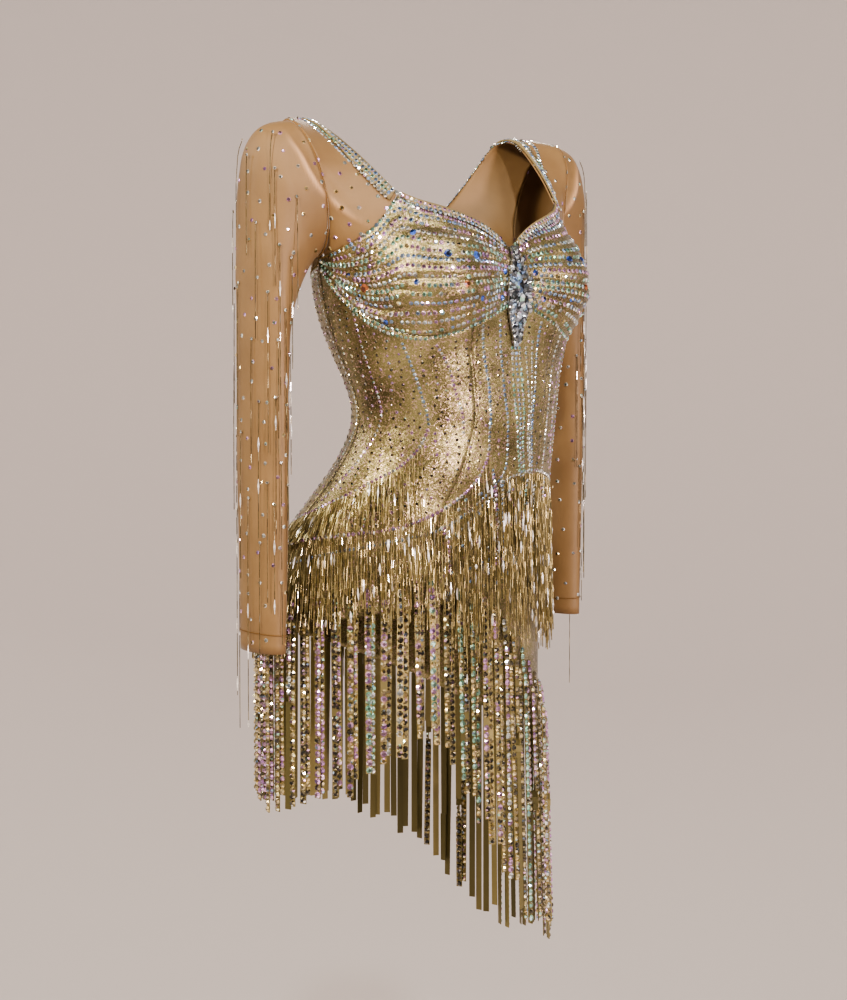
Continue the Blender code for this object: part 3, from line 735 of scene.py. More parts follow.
LINES = (
    # hue, stone diameter in mm, pitch in mm, then the line's (angle, height in mm) stations. The first eight
    # sweep down the front from the cups, three of them out round the hip as headings of the fringe.
    ("ice", 3.4, 4.6, ((-55, -236), (-54, -250), (-53, -268), (-52, -285), (-51, -303), (-49, -320))),
    ("rose", 3.6, 4.4, ((-49, -320), (-50, -339), (-53, -353), (-58, -365), (-65, -374), (-82, -397),
                        (-103, -416), (-128, -430), (-155, -440), (-179, -444))),
    ("rose", 3.4, 4.8, ((-39, -238), (-37, -249), (-35, -265), (-34, -283), (-32, -303), (-29, -331))),
    ("ice", 3.6, 4.4, ((-18, -218), (-17, -258), (-16, -278), (-16, -299), (-15, -325), (-13, -345))),
    ("rose", 4.0, 4.5, ((-13, -345), (-13, -360), (-17, -388), (-27, -410), (-43, -425), (-65, -432),
                        (-89, -440), (-120, -462), (-150, -474), (-179, -478))),
    ("ice", 3.4, 4.6, ((-9, -212), (-8, -263), (-7, -294), (-4, -325), (-1, -359), (-3, -380), (-12, -409),
                       (-25, -429), (-45, -440), (-70, -452), (-100, -470), (-140, -486), (-179, -490))),
    ("mint", 3.6, 4.4, ((-2, -240), (-1, -294), (4, -336), (10, -377))),
    ("mint", 3.6, 4.4, ((2, -240), (5, -294), (8, -337), (13, -378), (16, -420))),
    ("ice", 3.4, 4.6, ((0, -240), (2, -294), (6, -337), (11.5, -378))),
    ("clear", 3.4, 4.6, ((10, -234), (11.5, -292), (12, -325), (16.5, -362), (19, -392))),
    ("clear", 3.4, 4.6, ((6, -240), (9, -290), (11, -330), (15, -360))),
    ("ice", 3.6, 4.4, ((13, -214), (14, -274), (13, -316), (18, -359), (22, -392), (24, -440))),
    ("clear", 3.6, 4.4, ((29, -228), (29, -280), (29, -328), (31, -372))),
    ("ice", 3.4, 4.6, ((-8, -367), (-1, -399), (4, -432), (7, -465))),
    ("rose", 3.4, 4.8, ((41, -232), (40, -265), (38, -300), (40, -340), (48, -370))),
    ("ice", 3.4, 4.6, ((56, -230), (55, -265), (53, -300), (55, -340), (64, -384))),
    ("mint", 3.4, 4.6, ((72, -216), (71, -265), (70, -310), (74, -360), (86, -402))),
    ("ice", 3.4, 4.6, ((104, -160), (103, -230), (102, -300), (106, -360), (114, -424))),
    ("rose", 3.4, 4.6, ((-78, -206), (-79, -260), (-79, -310), (-84, -350), (-94, -400))),
    ("clear", 3.4, 4.6, ((-104, -160), (-103, -230), (-102, -300), (-108, -360), (-118, -420))),
    ("ice", 3.4, 4.6, ((180, -196), (180, -260), (180, -320), (176, -380), (168, -440))),
    ("rose", 3.4, 4.6, ((164, -192), (163, -260), (162, -320), (156, -380), (146, -436))),
    ("rose", 3.4, 4.6, ((-164, -192), (-163, -260), (-162, -320), (-156, -380), (-146, -430))),
    ("mint", 3.4, 4.6, ((146, -184), (145, -260), (144, -320), (136, -380), (128, -430))),
    ("mint", 3.4, 4.6, ((-146, -184), (-145, -260), (-144, -320), (-136, -370), (-128, -424))),
    # under the cups, along the back's upper edge, and the heading of the long fringe on the left
    *both_sides("mint", 3.6, 4.6, UNDER_CUP),
    *both_sides("clear", 4.2, 4.8, BACK_EDGE),
    ("clear", 3.6, 4.4, ((-17, -437), (-11, -421), (-4, -397), (1, -379), (14, -371), (30, -373), (60, -391),
                         (100, -424), (140, -442), (179, -448))),
)
LARGE_ON_CUPS = (
    # angle, height in mm, diameter in mm, hue; the other cup has the same, a little shifted
    (43, -124, 6.5, "sapphire"), (32, -146, 8, "sapphire"), (21, -147, 8, "sapphire"),
    (44, -174, 6, "sapphire"), (6, -162, 6, "sapphire"), (20, -190, 6, "sapphire"), (9, -189, 6, "sapphire"),
    (60, -214, 5.5, "sapphire"), (67, -180, 9.5, "topaz"), (27, -176, 6.5, "topaz"), (26, -169, 5, "mint"),
    (14, -166, 5.5, "gold"), (55, -140, 5, "mint"), (52, -196, 5, "gold"), (36, -205, 5, "mint"),
    (76, -166, 5, "sapphire"),
)
CUP_ROWS = 15
FILL_PITCH_MM = 11.4
FIELD_HUES = ("smoke", "smoke", "smoke", "gold", "rose")
FIELD_FOOT = (
    # angle, height in mm that the spaced-out field ends at
    (-180, -472), (-120, -456), (-89, -436), (-65, -426), (-43, -420), (-27, -404), (-13, -362), (0, -376),
    (16, -374), (30, -370), (60, -387), (100, -420), (140, -438), (180, -446),
)


def noted(cells, at, gap):
    """Keeps a stone's place in the cell of a grid that it falls in."""
    cells.setdefault(tuple(int(c // gap) for c in at), []).append(at)


def near(cells, at, gap):
    """Whether a point lies nearer than gap to a place that is kept."""
    i, j, k = (int(c // gap) for c in at)
    return any((at - other).length < gap for x in (i - 1, i, i + 1) for y in (j - 1, j, j + 1)
               for z in (k - 1, k, k + 1) for other in cells.get((x, y, z), ()))


def crowded(wanted, gap):
    """A test for a point that lies nearer than gap to a stone already wanted."""
    cells = {}
    for place, *_ in wanted:
        noted(cells, place, gap)
    return lambda at: near(cells, at, gap)


def body_stones():
    """Rows along the lines, then the spaced-out field between them, down to the fringe."""
    draw = random.Random(21)
    wanted = []
    for hue, size, pitch, line in LINES:
        fresh = crowded(wanted, 2.6 * MM)
        wanted += [(at, facing, size * draw.uniform(1.1, 1.4), hue if draw.random() < 0.7 else "clear")
                   for at, facing in spaced(line, pitch * MM) if not fresh(at)]
    taken = crowded(wanted, 5.4 * MM)
    row, height = 0, -160.0
    while height > -476:
        step = FILL_PITCH_MM * MM / (trunk(1, height * MM)[0] - trunk(0, height * MM)[0]).length
        angle = -180.0 + (row % 2) * step / 2 + draw.uniform(-0.4, 0.4)
        while angle < 180:
            side = abs(angle)
            top = table(CUP_MM, side)[1] if side < 100 else table(BACK_TOP_MM, side)[0]
            if table(FIELD_FOOT, angle)[0] < height < top - 7:
                at, facing = around(angle + draw.uniform(-0.6, 0.6), (height + draw.uniform(-1.3, 1.3)) * MM)
                if not taken(at):
                    wanted.append((at, facing, draw.uniform(3.4, 4.3), draw.choice(FIELD_HUES)))
            here, beyond = trunk(angle, height * MM)[0], trunk(angle + 1, height * MM)[0]
            angle += FILL_PITCH_MM * MM / (beyond - here).length
        row, height = row + 1, height - FILL_PITCH_MM * 0.64
    stones("body_stones", wanted, seed=31)


def cup_stones(side):
    """Rows that follow the pleats from the side to the middle, the coloured stones set among them first."""
    draw = random.Random(40 + side)
    large = []
    for angle, height, size, hue in LARGE_ON_CUPS:
        at, facing = around(side * (angle + (2.5 if side > 0 else 0)), height * MM)
        large.append((at, facing, size * 1.2, hue))
    taken = crowded(large, 5.2 * MM)
    wanted = []
    for row in range(CUP_ROWS):
        share = (row + 0.4) / CUP_ROWS
        stations = []
        for angle in range(3, 99, 5):
            upper, lower = table(CUP_MM, angle)
            gap = (upper - lower) / CUP_ROWS
            if gap > 4.1 or (row % 2 == 0 and gap > 2.2) or row % 5 == 0:
                stations.append((side * angle, lower + (upper - lower) * share))
            elif stations:
                break
        hue = ("mint", "clear", "rose", "ice", "mint")[row % 5]
        fresh = crowded(wanted, 3.0 * MM)
        if len(stations) > 2:
            wanted += [(at, facing, draw.uniform(4.8, 6.0), hue if draw.random() < 0.6 else
                        draw.choice(("clear", "gold", "rose", "ice")))
                       for at, facing in spaced(stations, 5.6 * MM)
                       if draw.random() > 0.05 and not taken(at) and not fresh(at)]
    stones("cup_stones_" + name_of(side), wanted, seed=50 + side)
    stones("cup_large_stones_" + name_of(side), large, shape=LARGE_STONE, seed=60 + side)


def over_fringe(angle, z):
    """Just outside the fringe, where a chain of stones lies on it."""
    at, facing = around(angle, z)
    return at + facing * 7.5 * MM, facing


CHAINS = (
    # chains of stones that hang on over the fringe from the ends of the front lines
    ("rose", ((-9, -372), (-3, -396), (1, -425), (3, -466))),
    ("ice", ((-5, -372), (1, -399), (5, -432), (7, -470))),
    ("mint", ((12, -378), (15, -410), (17, -450))), ("clear", ((19, -384), (22, -420), (24, -484))),
    ("clear", ((27, -378), (30, -410), (32, -452))), ("rose", ((-24, -424), (-20, -440), (-17, -472))),
)
LOOSE_STONES = 110         # caught in the fringe between the chains


def chains():
    draw = random.Random(37)
    wanted = []
    for hue, line in CHAINS:
        wanted += [(at, facing, draw.uniform(3.8, 4.6), hue if draw.random() < 0.6 else "clear")
                   for at, facing in spaced(line, 5.0 * MM, over_fringe)]
    for _ in range(LOOSE_STONES):
        at, facing = over_fringe(draw.uniform(-22, 42), draw.uniform(-500, -385) * MM)
        wanted.append((at, facing, draw.uniform(3.6, 4.8), draw.choice(("clear", "gold", "rose", "ice"))))
    stones("chain_stones", wanted, seed=38)


body_stones()
cup_stones(-1)
cup_stones(1)
chains()

# ---------------------------------------------------------------- beaded edgings
# A woven gold tape along the sweetheart edge and round the neckline, close rows of crystals sewn to it: three
# in lilac and blue over the cups, four in silvery green up the straps and round the neck.

NECK_MM = (
    # run, x, y, z of the left half of the neckline: 0 at the cup, 1 on the shoulder, 2 at the centre back
    (0, 110, -92, -84), (0.4, 125, -53, -48), (0.8, 140, -5, -12), (1, 143, 20, -5), (1.2, 140, 43, -13),
    (1.45, 117, 70, -60), (1.7, 74, 84, -104), (2, 0, 90, -128),
)
NECK_STEPS = 1200
TAPE_CUTS = (("cup_edging_right", 0.115), ("cup_edging_left", 0.115), ("neck_edging_right", 0.40),
             ("neck_edging_left", 0.40))
TAPE_BACKING = finish_named("woven_stone_tape", Base_Color=linear("#77694A"), Roughness=0.8,
                            Specular_IOR_Level=0.2)[0]
for NODE, LENGTH in TAPE_CUTS:
    cloth(NODE, smooth_copy(NODE, 1), TAPE_BACKING)


def cup_edge_stones(side, draw):
    """Three rows on the tape of a cup."""
    tape = tree_of(cloth_mesh("cup_edging_" + name_of(side)))

    def on_tape(angle, z):
        point, out = trunk(angle, z)
        hit, normal, _, _ = tape.ray_cast(point + out * 0.12, -out)
        return (hit, normal) if hit else around(angle, z)
    wanted = []
    for row, hue in enumerate(("rose", "ice", "rose")):
        line = [(side * angle, table(CUP_MM, angle)[0] - 0.4 - 4.1 * row)
                for angle in (5, 12, 20, 28, 36, 42, 46)]
        wanted += [(at, facing, draw.uniform(4.3, 5.2), hue if draw.random() < 0.6 else "clear")
                   for at, facing in spaced(line, 4.7 * MM, on_tape)]
    return wanted


def neck_stations(side):
    """Close stations along half of the neckline: its edge, the way out, and the way across the tape."""
    found = []
    for step in range(NECK_STEPS):
        run = 0.01 + 1.98 * step / (NECK_STEPS - 1)
        edge, beyond = (on_side(Vector(table(NECK_MM, at)) * MM, side) for at in (run, run + 0.01))
        out = from_shoulder(edge)
        found.append((edge, out, (beyond - edge).cross(out).normalized() * side))
    return found


def neck_stones(side, draw):
    """Three rows on the tape of half of the neckline, and one on its very edge."""
    name = name_of(side)
    tape = tree_of(*(cloth_mesh(node) for node in ("neck_edging_" + name, "yoke_front_" + name, "yoke_back",
                                                   "sleeve_" + name)))
    stations, wanted = neck_stations(side), []
    for row, hue in enumerate(("clear", "mint", "clear")):
        last = None
        for edge, out, across in stations:
            point = edge + across * (0.4 + 4.6 * row) * MM
            hit, normal, _, _ = tape.ray_cast(point + out * 0.03, -out)
            if hit and (last is None or (hit - last).length >= 5.0 * MM):
                wanted.append((hit, normal, draw.uniform(4.7, 5.5), hue if draw.random() < 0.6 else "ice"))
                last = hit
    last = None
    for edge, out, across in stations:
        hit, normal, _, _ = tape.ray_cast(edge - across * 0.02 + out * 0.4 * MM, across)
        if hit and (hit - edge).length < 4 * MM and (last is None or (hit - last).length >= 4.0 * MM):
            facing = (normal + out).normalized()
            wanted.append((hit, facing, draw.uniform(3.6, 4.2), draw.choice(("clear", "ice"))))
            last = hit
    return wanted


for SIDE in (-1, 1):
    DRAW = random.Random(70 + SIDE)
    EDGE_STONES = cup_edge_stones(SIDE, DRAW) + neck_stones(SIDE, DRAW)
    stones("edging_stones_" + name_of(SIDE), EDGE_STONES, seed=80 + SIDE)

# ---------------------------------------------------------------- stones on the net
# The same crystals, glued singly and well apart over the net of the shoulders and sleeves, closer together on
# the shoulders than down the arms.

SCATTER_TRIES = 5200       # enough to fill a piece of cloth at the closest gap


def mix(count, draw):
    """Random weights that add up to 1."""
    parts = [draw.expovariate(1) for _ in range(count)]
    return [part / sum(parts) for part in parts]


def scattered(mesh, gap, keep, seed):
    """Points spread over a mesh at least gap apart, where keep(point, normal) allows."""
    draw = random.Random(seed)
    faces = [face for face in mesh.polygons if keep(face.center, face.normal)]
    weights = np.cumsum([face.area for face in faces])
    found, cells = [], {}
    for _ in range(SCATTER_TRIES):
        face = faces[int(np.searchsorted(weights, draw.uniform(0, weights[-1])))]
        weighed = zip(face.vertices, mix(len(face.vertices), draw))
        at = sum((mesh.vertices[i].co * weight for i, weight in weighed), Vector())
        if not near(cells, at, gap):
            noted(cells, at, gap)
            found.append((at, face.normal.copy()))
    return found


def on_shoulder(at, normal):
    return normal.dot(from_shoulder(at)) > 0.5


def on_arm(at, normal):
    """On the outer face of a sleeve, clear of the last few mm of its cuff."""
    return normal.dot(from_sleeve(at)) > 0.5 and at.z > -0.545


NET_STONES = (
    # nodes, the test of a place, gap in mm, least and greatest diameter in mm, hues, seed
    (("yoke_front_right", "yoke_front_left", "yoke_back"), on_shoulder, 15, (4.6, 5.8),
     ("clear", "gold", "rose", "clear"), 91),
    (("sleeve_right", "sleeve_left"), on_arm, 19, (4.2, 5.4), ("clear", "gold", "clear", "rose"), 92),
)


def net_stones():
    draw = random.Random(90)
    wanted = []
    for nodes, test, gap, sizes, hues, seed in NET_STONES:
        for node in nodes:
            wanted += [(at, facing, draw.uniform(*sizes), draw.choice(hues))
                       for at, facing in scattered(cloth_mesh(node), gap * MM, test, seed)]
    stones("net_stones", wanted, seed=93)


net_stones()

# ---------------------------------------------------------------- brooch
# A cast drop of rhodium-plated metal at the centre front, set all over with long clear marquise crystals that
# spread like leaves from its middle, with small round ones between them.

BROOCH_LEAVES = (
    # height in mm, distance from the middle line, lean from upright in degrees, length; a leaf off the middle
    # line has its mirror image on the other side
    (-142, 0, 0, 10), (-149, 3.5, 24, 10), (-156, 0, 0, 11), (-160, 6.5, 38, 12), (-168, 4.0, 18, 12),
    (-171, 10.5, 62, 13), (-180, 12, 96, 13), (-179, 4.5, 40, 13), (-189, 11, 128, 13), (-190, 0, 0, 17),
    (-197, 5.5, 152, 12), (-199, 11.0, 158, 12), (-207, 0, 0, 12), (-210, 6.5, 160, 12), (-218, 2.8, 168, 11),
    (-224, 4.8, 172, 9), (-230, 0, 0, 12),
)
BROOCH_MM = (
    # height, half width
    (-239, 2.5), (-228, 5), (-214, 10), (-200, 15), (-182, 17), (-168, 15), (-156, 9), (-148, 6), (-137, 4.5),
)
BROOCH_MIDDLE_MM = 2       # it hangs a little to the wearer's left


def marquise():
    """A navette crystal, 2 long and pointed at both ends, with crown facets round a long table."""
    mesh = cut_stone(10, 0.5, 0.5)
    for point in mesh.vertices:
        point.co.x = 0.5 * point.co.x * abs(point.co.x) ** 0.35
    return mesh


def brooch():
    draw = random.Random(101)
    shape = marquise()
    metal, tree, shader = finish_named("rhodium_plated_casting", Metallic=1.0, Roughness=0.28)
    pits = pattern(tree, "ShaderNodeTexNoise", 420.0, Detail=2.0).outputs["Fac"]
    wired(shader, Base_Color=blend(tree, pits, linear("#5F646A"), linear("#C4C8CC")))
    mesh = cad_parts["brooch"].data
    mesh.materials.clear()
    mesh.materials.append(metal)
    cast = tree_of(mesh)

    def front(x, z):
        hit = cast.ray_cast(Vector((x, -0.4, z)), Vector((0, 1, 0)))[0]
        return hit or around(0, z)[0] + Vector((0, -5 * MM, 0))
    places, tints = [], []
    flats, faces = flat_faces(shape), len(shape.polygons)
    for height, off, lean, length in BROOCH_LEAVES:
        for side in ((-1, 1) if off else (1,)):
            x, z = (BROOCH_MIDDLE_MM + side * off) * MM, height * MM
            at = Vector((x, front(BROOCH_MIDDLE_MM * MM, z).y + abs(off) * 0.05 * MM - 1.2 * MM, z))
            facing = Vector((side * off * 0.03, -1, draw.uniform(-0.12, 0.12))).normalized()
            turn = facing.to_track_quat("Z", "Y").to_matrix()
            spin = Matrix.Rotation(math.radians(-side * lean), 3, "Z")
            places.append(Matrix.Translation(at) @ (turn @ spin * (length / 2 * MM)).to_4x4())
            tints.append(facet_colours_with_painted_glints("silver" if draw.random() < 0.8 else "ice", faces, draw, flats))
    joined("brooch_leaves", shape, places, tints, AURORA_GLASS)
    dots = []
    for height in range(-234, -140, 6):
        half = table(BROOCH_MM, height)[0]
        for side in (-1, 1):
            x = (BROOCH_MIDDLE_MM + side * half * draw.uniform(0.75, 0.95)) * MM
            dots.append((Vector((x, front(x, height * MM).y - 0.6 * MM, height * MM)),
                         Vector((side * 0.4, -1, 0)).normalized(), 3.0, "clear"))
    stones("brooch_dots", dots, seed=102)


brooch()

# ---------------------------------------------------------------- bugle fringe round the hip
# Strings of gold-lined glass bugles, a millimetre thick, looped on close together under the swooping lines of
# crystals. Each bugle has its own turn on the thread, so that a few of them always catch the light.

# A few fatter rice beads among the bugles are coloured near white: painted glints.
BUGLE_MM = 7.6
BUGLE_THICK_MM = 1.05
GILT = ("#7B6D42", "#928559", "#5D5231", "#B0A278", "#40381F")
NEXT_HEADING = (
    (-180, -480), (-150, -476), (-120, -464), (-89, -444), (-65, -434), (-43, -427), (-27, -412), (-17, -390),
)
HIP_ROWS = (
    # the node that the strings stand for, their stand-off in mm, the heading that they end above, then the
    # rows: pitch, shortest, longest, heading stations
    ("hip_fringe_outer", 8.0, NEXT_HEADING, (
        (1.9, 74, 90, ((-179, -446), (-155, -442), (-128, -432), (-103, -418), (-82, -399), (-65, -376),
                       (-58, -367), (-53, -355), (-49, -341), (-48.5, -328))),
        (2.6, 66, 84, ((-179, -452), (-128, -438), (-103, -424), (-82, -405), (-65, -383), (-52, -362))),
    )),
    ("hip_fringe_inner", 5.6, None, (
        (2.1, 56, 100, ((-179, -480), (-150, -476), (-120, -464), (-89, -442), (-65, -434), (-43, -427),
                       (-27, -412), (-17, -390), (-13, -362), (-12, -350))),
        (2.9, 50, 96, ((-179, -492), (-140, -488), (-100, -472), (-70, -454), (-45, -442), (-25, -431),
                       (-12, -411), (-4, -384), (0, -364))),
    )),
    ("hip_fringe_left", 3.2, None, (
        (2.3, 100, 178, ((-17, -440), (-11, -424), (-4, -400), (1, -382), (14, -374), (30, -376), (60, -394),
                         (100, -426), (140, -444), (179, -450))),
        (2.8, 90, 165, ((-14, -448), (-6, -420), (1, -402), (14, -392), (30, -394), (60, -412), (100, -444),
                         (140, -462), (179, -466))),
        (3.2, 70, 145, ((10, -424), (30, -424), (60, -440), (100, -466), (140, -482), (179, -484))),
    )),
)


def bead(name, middle, end):
    """A four-sided bead, closed at both ends, 2 long, with its radius at the middle and at both ends."""
    bm = bmesh.new()
    for height, low, high in ((-0.5, end, middle), (0.5, middle, end)):
        bmesh.ops.create_cone(bm, segments=4, radius1=low, radius2=high, depth=1,
                              matrix=Matrix.Translation((0, 0, height)))
    bmesh.ops.remove_doubles(bm, verts=bm.verts, dist=0.001)
    bmesh.ops.holes_fill(bm, edges=bm.edges)
    bmesh.ops.recalc_face_normals(bm, faces=bm.faces)
    return mesh_of(bm, name)


def hang(angle, root, z, stand_off):
    """Where a string sewn on at root height is at a lower height: it falls straight down, slides out over the
    cloth where the hip widens under it, and is held out by what lies below."""
    point, out = around(angle, root)[0], trunk(angle, root)[1]
    for i in range(1, 7):
        height = root + (z - root) * i / 6
        centre_x, centre_y, half, front, back = (v * MM for v in table(TRUNK_MM, height / MM))
        depth = front if point.y < centre_y else back
        turn = math.degrees(math.atan2((point.x - centre_x) / half, (centre_y - point.y) / depth))
        out = trunk(turn, height)[1]
        point = point + out * max((around(turn, height)[0] - point).dot(out), 0.0)
    away = min(max((root - z) / (28 * MM), 0.0), 1.0)
    return Vector((point.x, point.y, z)) + out * (stand_off * away + 0.7) * MM


def threaded(path, thick, draw, length=BUGLE_MM, glints=0.02, shade=1.0):
    """The matrices and colours of the bugles on a string that follows a path, and the matrices of the few
    clear rice beads threaded between them, which are coloured near white as painted glints."""
    places, tints, clear = [], [], []
    colours = [linear(c) for c in GILT]
    ends = [(path[i + 1] - path[i]).length for i in range(len(path) - 1)]
    walked, total = 0.0, sum(ends)
    while walked < total - 2 * MM:
        glint = draw.random() < glints
        span = min(length * MM * (1.7 if glint else 1.0), total - walked)
        wide = thick / 2 * MM * (2.6 if glint else 1.0)
        a, b = along(path, ends, walked), along(path, ends, walked + span)
        way = b - a
        turn = way.to_track_quat("Z", "Y").to_matrix() @ Matrix.Rotation(draw.uniform(0, math.tau), 3, "Z")
        size = Matrix.Diagonal((wide, wide, way.length * 0.49))
        place = Matrix.Translation((a + b) / 2) @ (turn @ size).to_4x4()
        if glint:
            clear.append(place)
        else:
            base = colours[min(int(draw.expovariate(0.9)), 4)]
            places.append(place)
            tints.append([[min(c * level * shade, 1.0) for c in base[:3]] + [1.0]
                          for level in (draw.uniform(0.8, 1.2) for _ in range(len(BUGLE.polygons)))])
        walked += span
    return places, tints, clear


def strung(name, strings, draw):
    """The meshes of all the bugles and of all the rice beads of many strings, the rice beads painted near
    white as glints.
    """
    places, tints, clear = ([each for string in strings for each in string[i]] for i in range(3))
    made = joined(name, BUGLE, places, tints, GILT_GLASS)
    # painted glints: the rice beads get near-white colours
    painted_glint_white = [[[level, level * 0.96, level * 0.9, 1.0]
             for level in (draw.uniform(0.6, 1.0) for _ in RICE_BEAD.polygons)] for _ in clear]
    joined(name + "_rice_beads", RICE_BEAD, clear, painted_glint_white, GILT_GLASS)
    return made


def along(path, ends, distance):
    """The point at a distance along a path."""
    for i, end in enumerate(ends):
        if distance <= end or i == len(ends) - 1:
            return path[i].lerp(path[i + 1], min(distance / end, 1.0))
        distance -= end


BUGLE = bead("bugle", 1, 1)
RICE_BEAD = bead("rice_bead", 1, 0.25)
GILT_GLASS = tinted_glass("gold_lined_bugle_glass", 500.0, 0.7, 1.25, Metallic=0.6, Roughness=0.34,
                          Coat_Weight=0.7, Coat_Roughness=0.05)


def hip_fringe(node, stand_off, next_heading, rows, seed):
    draw = random.Random(seed)
    strings = []
    for pitch, shortest, longest, line in rows:
        angle, end = line[0][0], line[-1][0]
        while angle < end:
            root = table(line, angle)[0] * MM
            drop = draw.uniform(shortest, longest) * MM
            if next_heading:
                room = root - table(next_heading, angle)[0] * MM - draw.uniform(2, 9) * MM
                drop = min(drop, max(room, 24 * MM))
            off = stand_off + draw.uniform(-1.0, 1.4)
            sway = draw.gauss(0, 1.1)
            path = [hang(angle + sway * s, root, root - drop * s, off * (0.2 + 0.8 * s) if s else 0.0)
                    for s in (0.0, 0.2, 0.45, 0.75, 1.0)]
            strings.append(threaded(path, BUGLE_THICK_MM * draw.uniform(0.85, 1.2), draw))
            here, beyond = trunk(angle, root)[0], trunk(angle + 1, root)[0]
            angle += pitch * MM * draw.uniform(0.7, 1.3) / (beyond - here).length
    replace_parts(strung(node + "_strings", strings, draw), node)


for SEED, ROW in enumerate(HIP_ROWS):
    hip_fringe(*ROW, 110 + SEED)

# ---------------------------------------------------------------- studded strips round the hem
# Two rings of narrow bands of the gold satin, cut square at uneven lengths, each with one column of close-set
# large crystals on its face. They hang by their own weight, and a few have turned their plain backs outwards.

STRIPS = 56                # in each ring
STRIP_MM = 7.0
STRIP_WALL_MM = 1.0
STRIP_STONE_MM = 7.3
STRIP_PITCH_MM = 7.2
TIP_FLARE_MM = 11          # how far the tips swing out on the side where they are longest
LONGEST_AT = 50            # degrees
FLARE_TOP = -0.52          # metres
OVERLAP = 1.01             # each length of band runs a little into the next
OLIVE = ("#6E653F", "#857A4E", "#585130")


def block():
    bm = bmesh.new()
    bmesh.ops.create_cube(bm, size=2)
    return mesh_of(bm, "link")


def even_angle(share):
    """The angle at a share of the way round the hem, from the centre back."""
    angles = [-180 + 2 * i for i in range(181)]
    places = [trunk(angle, -0.56)[0] for angle in angles]
    walked = np.cumsum([0.0] + [(b - a).length for a, b in zip(places, places[1:])])
    return float(np.interp(share % 1.0 * walked[-1], walked, angles))


def hem_ring(level, raised, stand_off, shift, seed):
    """One ring of strips. Each is a chain of short lengths of band, a stone on each."""
    draw = random.Random(seed)
    bands, band_tints, gems, gem_tints = [], [], [], []
    flats, faces = flat_faces(LARGE_STONE), len(LARGE_STONE.polygons)
    for index in range(STRIPS):
        angle = even_angle((index + shift) / STRIPS)
        hem, tip = (v * MM for v in table(HEM_MM, angle))
        root, tip = hem + raised * MM, tip + draw.uniform(-12, 12) * MM
        sway, twist = draw.gauss(0, 0.7), math.radians(draw.gauss(0, 15))
        turned = draw.uniform(0.25, 0.6) if draw.random() < 0.12 else 2.0
        hues = draw.choices(("smoke", "gold", "rose", "clear", "mint"), (7, 5, 3, 1, 1), k=3)
        shade, glow = linear(draw.choice(OLIVE)), draw.uniform(0.8, 1.2)
        count = int((root - tip) / (STRIP_PITCH_MM * MM))
        for link in range(count + 1):
            share = (link + 0.5) / (count + 1)
            z = root - (root - tip) * share
            place = angle + sway * share
            out = trunk(place, z)[1]
            swing = TIP_FLARE_MM * max(math.cos(math.radians(angle - LONGEST_AT)), 0.0)
            swing *= max((FLARE_TOP - z) / (FLARE_TOP - tip), 0.0)
            at = hang(place, root, z, stand_off) + out * swing * MM
            lean = twist * share + (math.pi * min((share - turned) / 0.12, 1.0) if share > turned else 0.0)
            facing = Matrix.Rotation(lean, 3, "Z") @ out
            across = Vector((-facing.y, facing.x, 0))
            turn = Matrix((across, facing.cross(across), facing)).transposed()
            size = Matrix.Diagonal((STRIP_MM / 2 * MM, STRIP_PITCH_MM / 2 * MM * OVERLAP,
                                    STRIP_WALL_MM / 2 * MM))
            bands.append(Matrix.Translation(at) @ (turn @ size).to_4x4())
            band_tints.append([[c * glow for c in shade[:3]] + [1.0]] * 6)
            if draw.random() < 0.985:
                radius = STRIP_STONE_MM / 2 * draw.uniform(0.94, 1.04)
                gems.append(seated(at + facing * STRIP_WALL_MM / 2 * MM, facing, radius * MM, draw, 0.05))
                gem_tints.append(facet_colours_with_painted_glints(draw.choice(hues), faces, draw, flats))
    made = joined(f"hem_strips_{level}_bands", block(), bands, band_tints, STRIP_SATIN)
    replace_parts(made, "hem_strips_" + level)
    joined(f"hem_strips_{level}_stones", LARGE_STONE, gems, gem_tints, AURORA_GLASS)


STRIP_SATIN, STRIP_TREE, STRIP_SHADER = finish_named("foil_satin_strip", Metallic=0.55, Roughness=0.42)
wired(STRIP_SHADER, Base_Color=add(STRIP_TREE, "ShaderNodeVertexColor", layer_name="tint").outputs["Color"])
hem_ring("upper", 30, 2.2, 0.0, 120)
hem_ring("lower", 0, 0.4, 0.5, 121)

# ---------------------------------------------------------------- strings on the sleeves
# Single strings of the same bugles, each sewn on by its top, spread over the outer half of both sleeves.

SLEEVE_STRINGS = (
    # run along the sleeve, turn from the outer line (-90 in front), length in mm
    (0.9, -30, 95), (1.1, -78, 110), (1.2, 25, 90), (1.3, 70, 110), (1.4, -52, 120), (1.6, 0, 110),
    (1.8, -96, 120), (1.9, 48, 110), (2.1, -68, 150), (2.2, 96, 150), (2.3, -20, 110), (2.7, 70, 120),
    (2.8, -86, 130), (3.0, -48, 150), (3.0, 20, 160), (3.3, -108, 130), (3.5, -70, 120), (3.6, 92, 150),
    (3.8, -8, 130), (4.0, 50, 150), (4.3, -92, 120), (4.4, -58, 140), (4.6, -30, 150), (4.9, 76, 150),
    (5.0, 14, 150), (5.2, -76, 120), (5.4, -100, 100), (5.5, -46, 130), (5.7, 0, 245), (5.7, -62, 110),
    (5.8, 40, 210), (6.0, 84, 200), (6.1, -24, 130), (6.4, -84, 60),
)


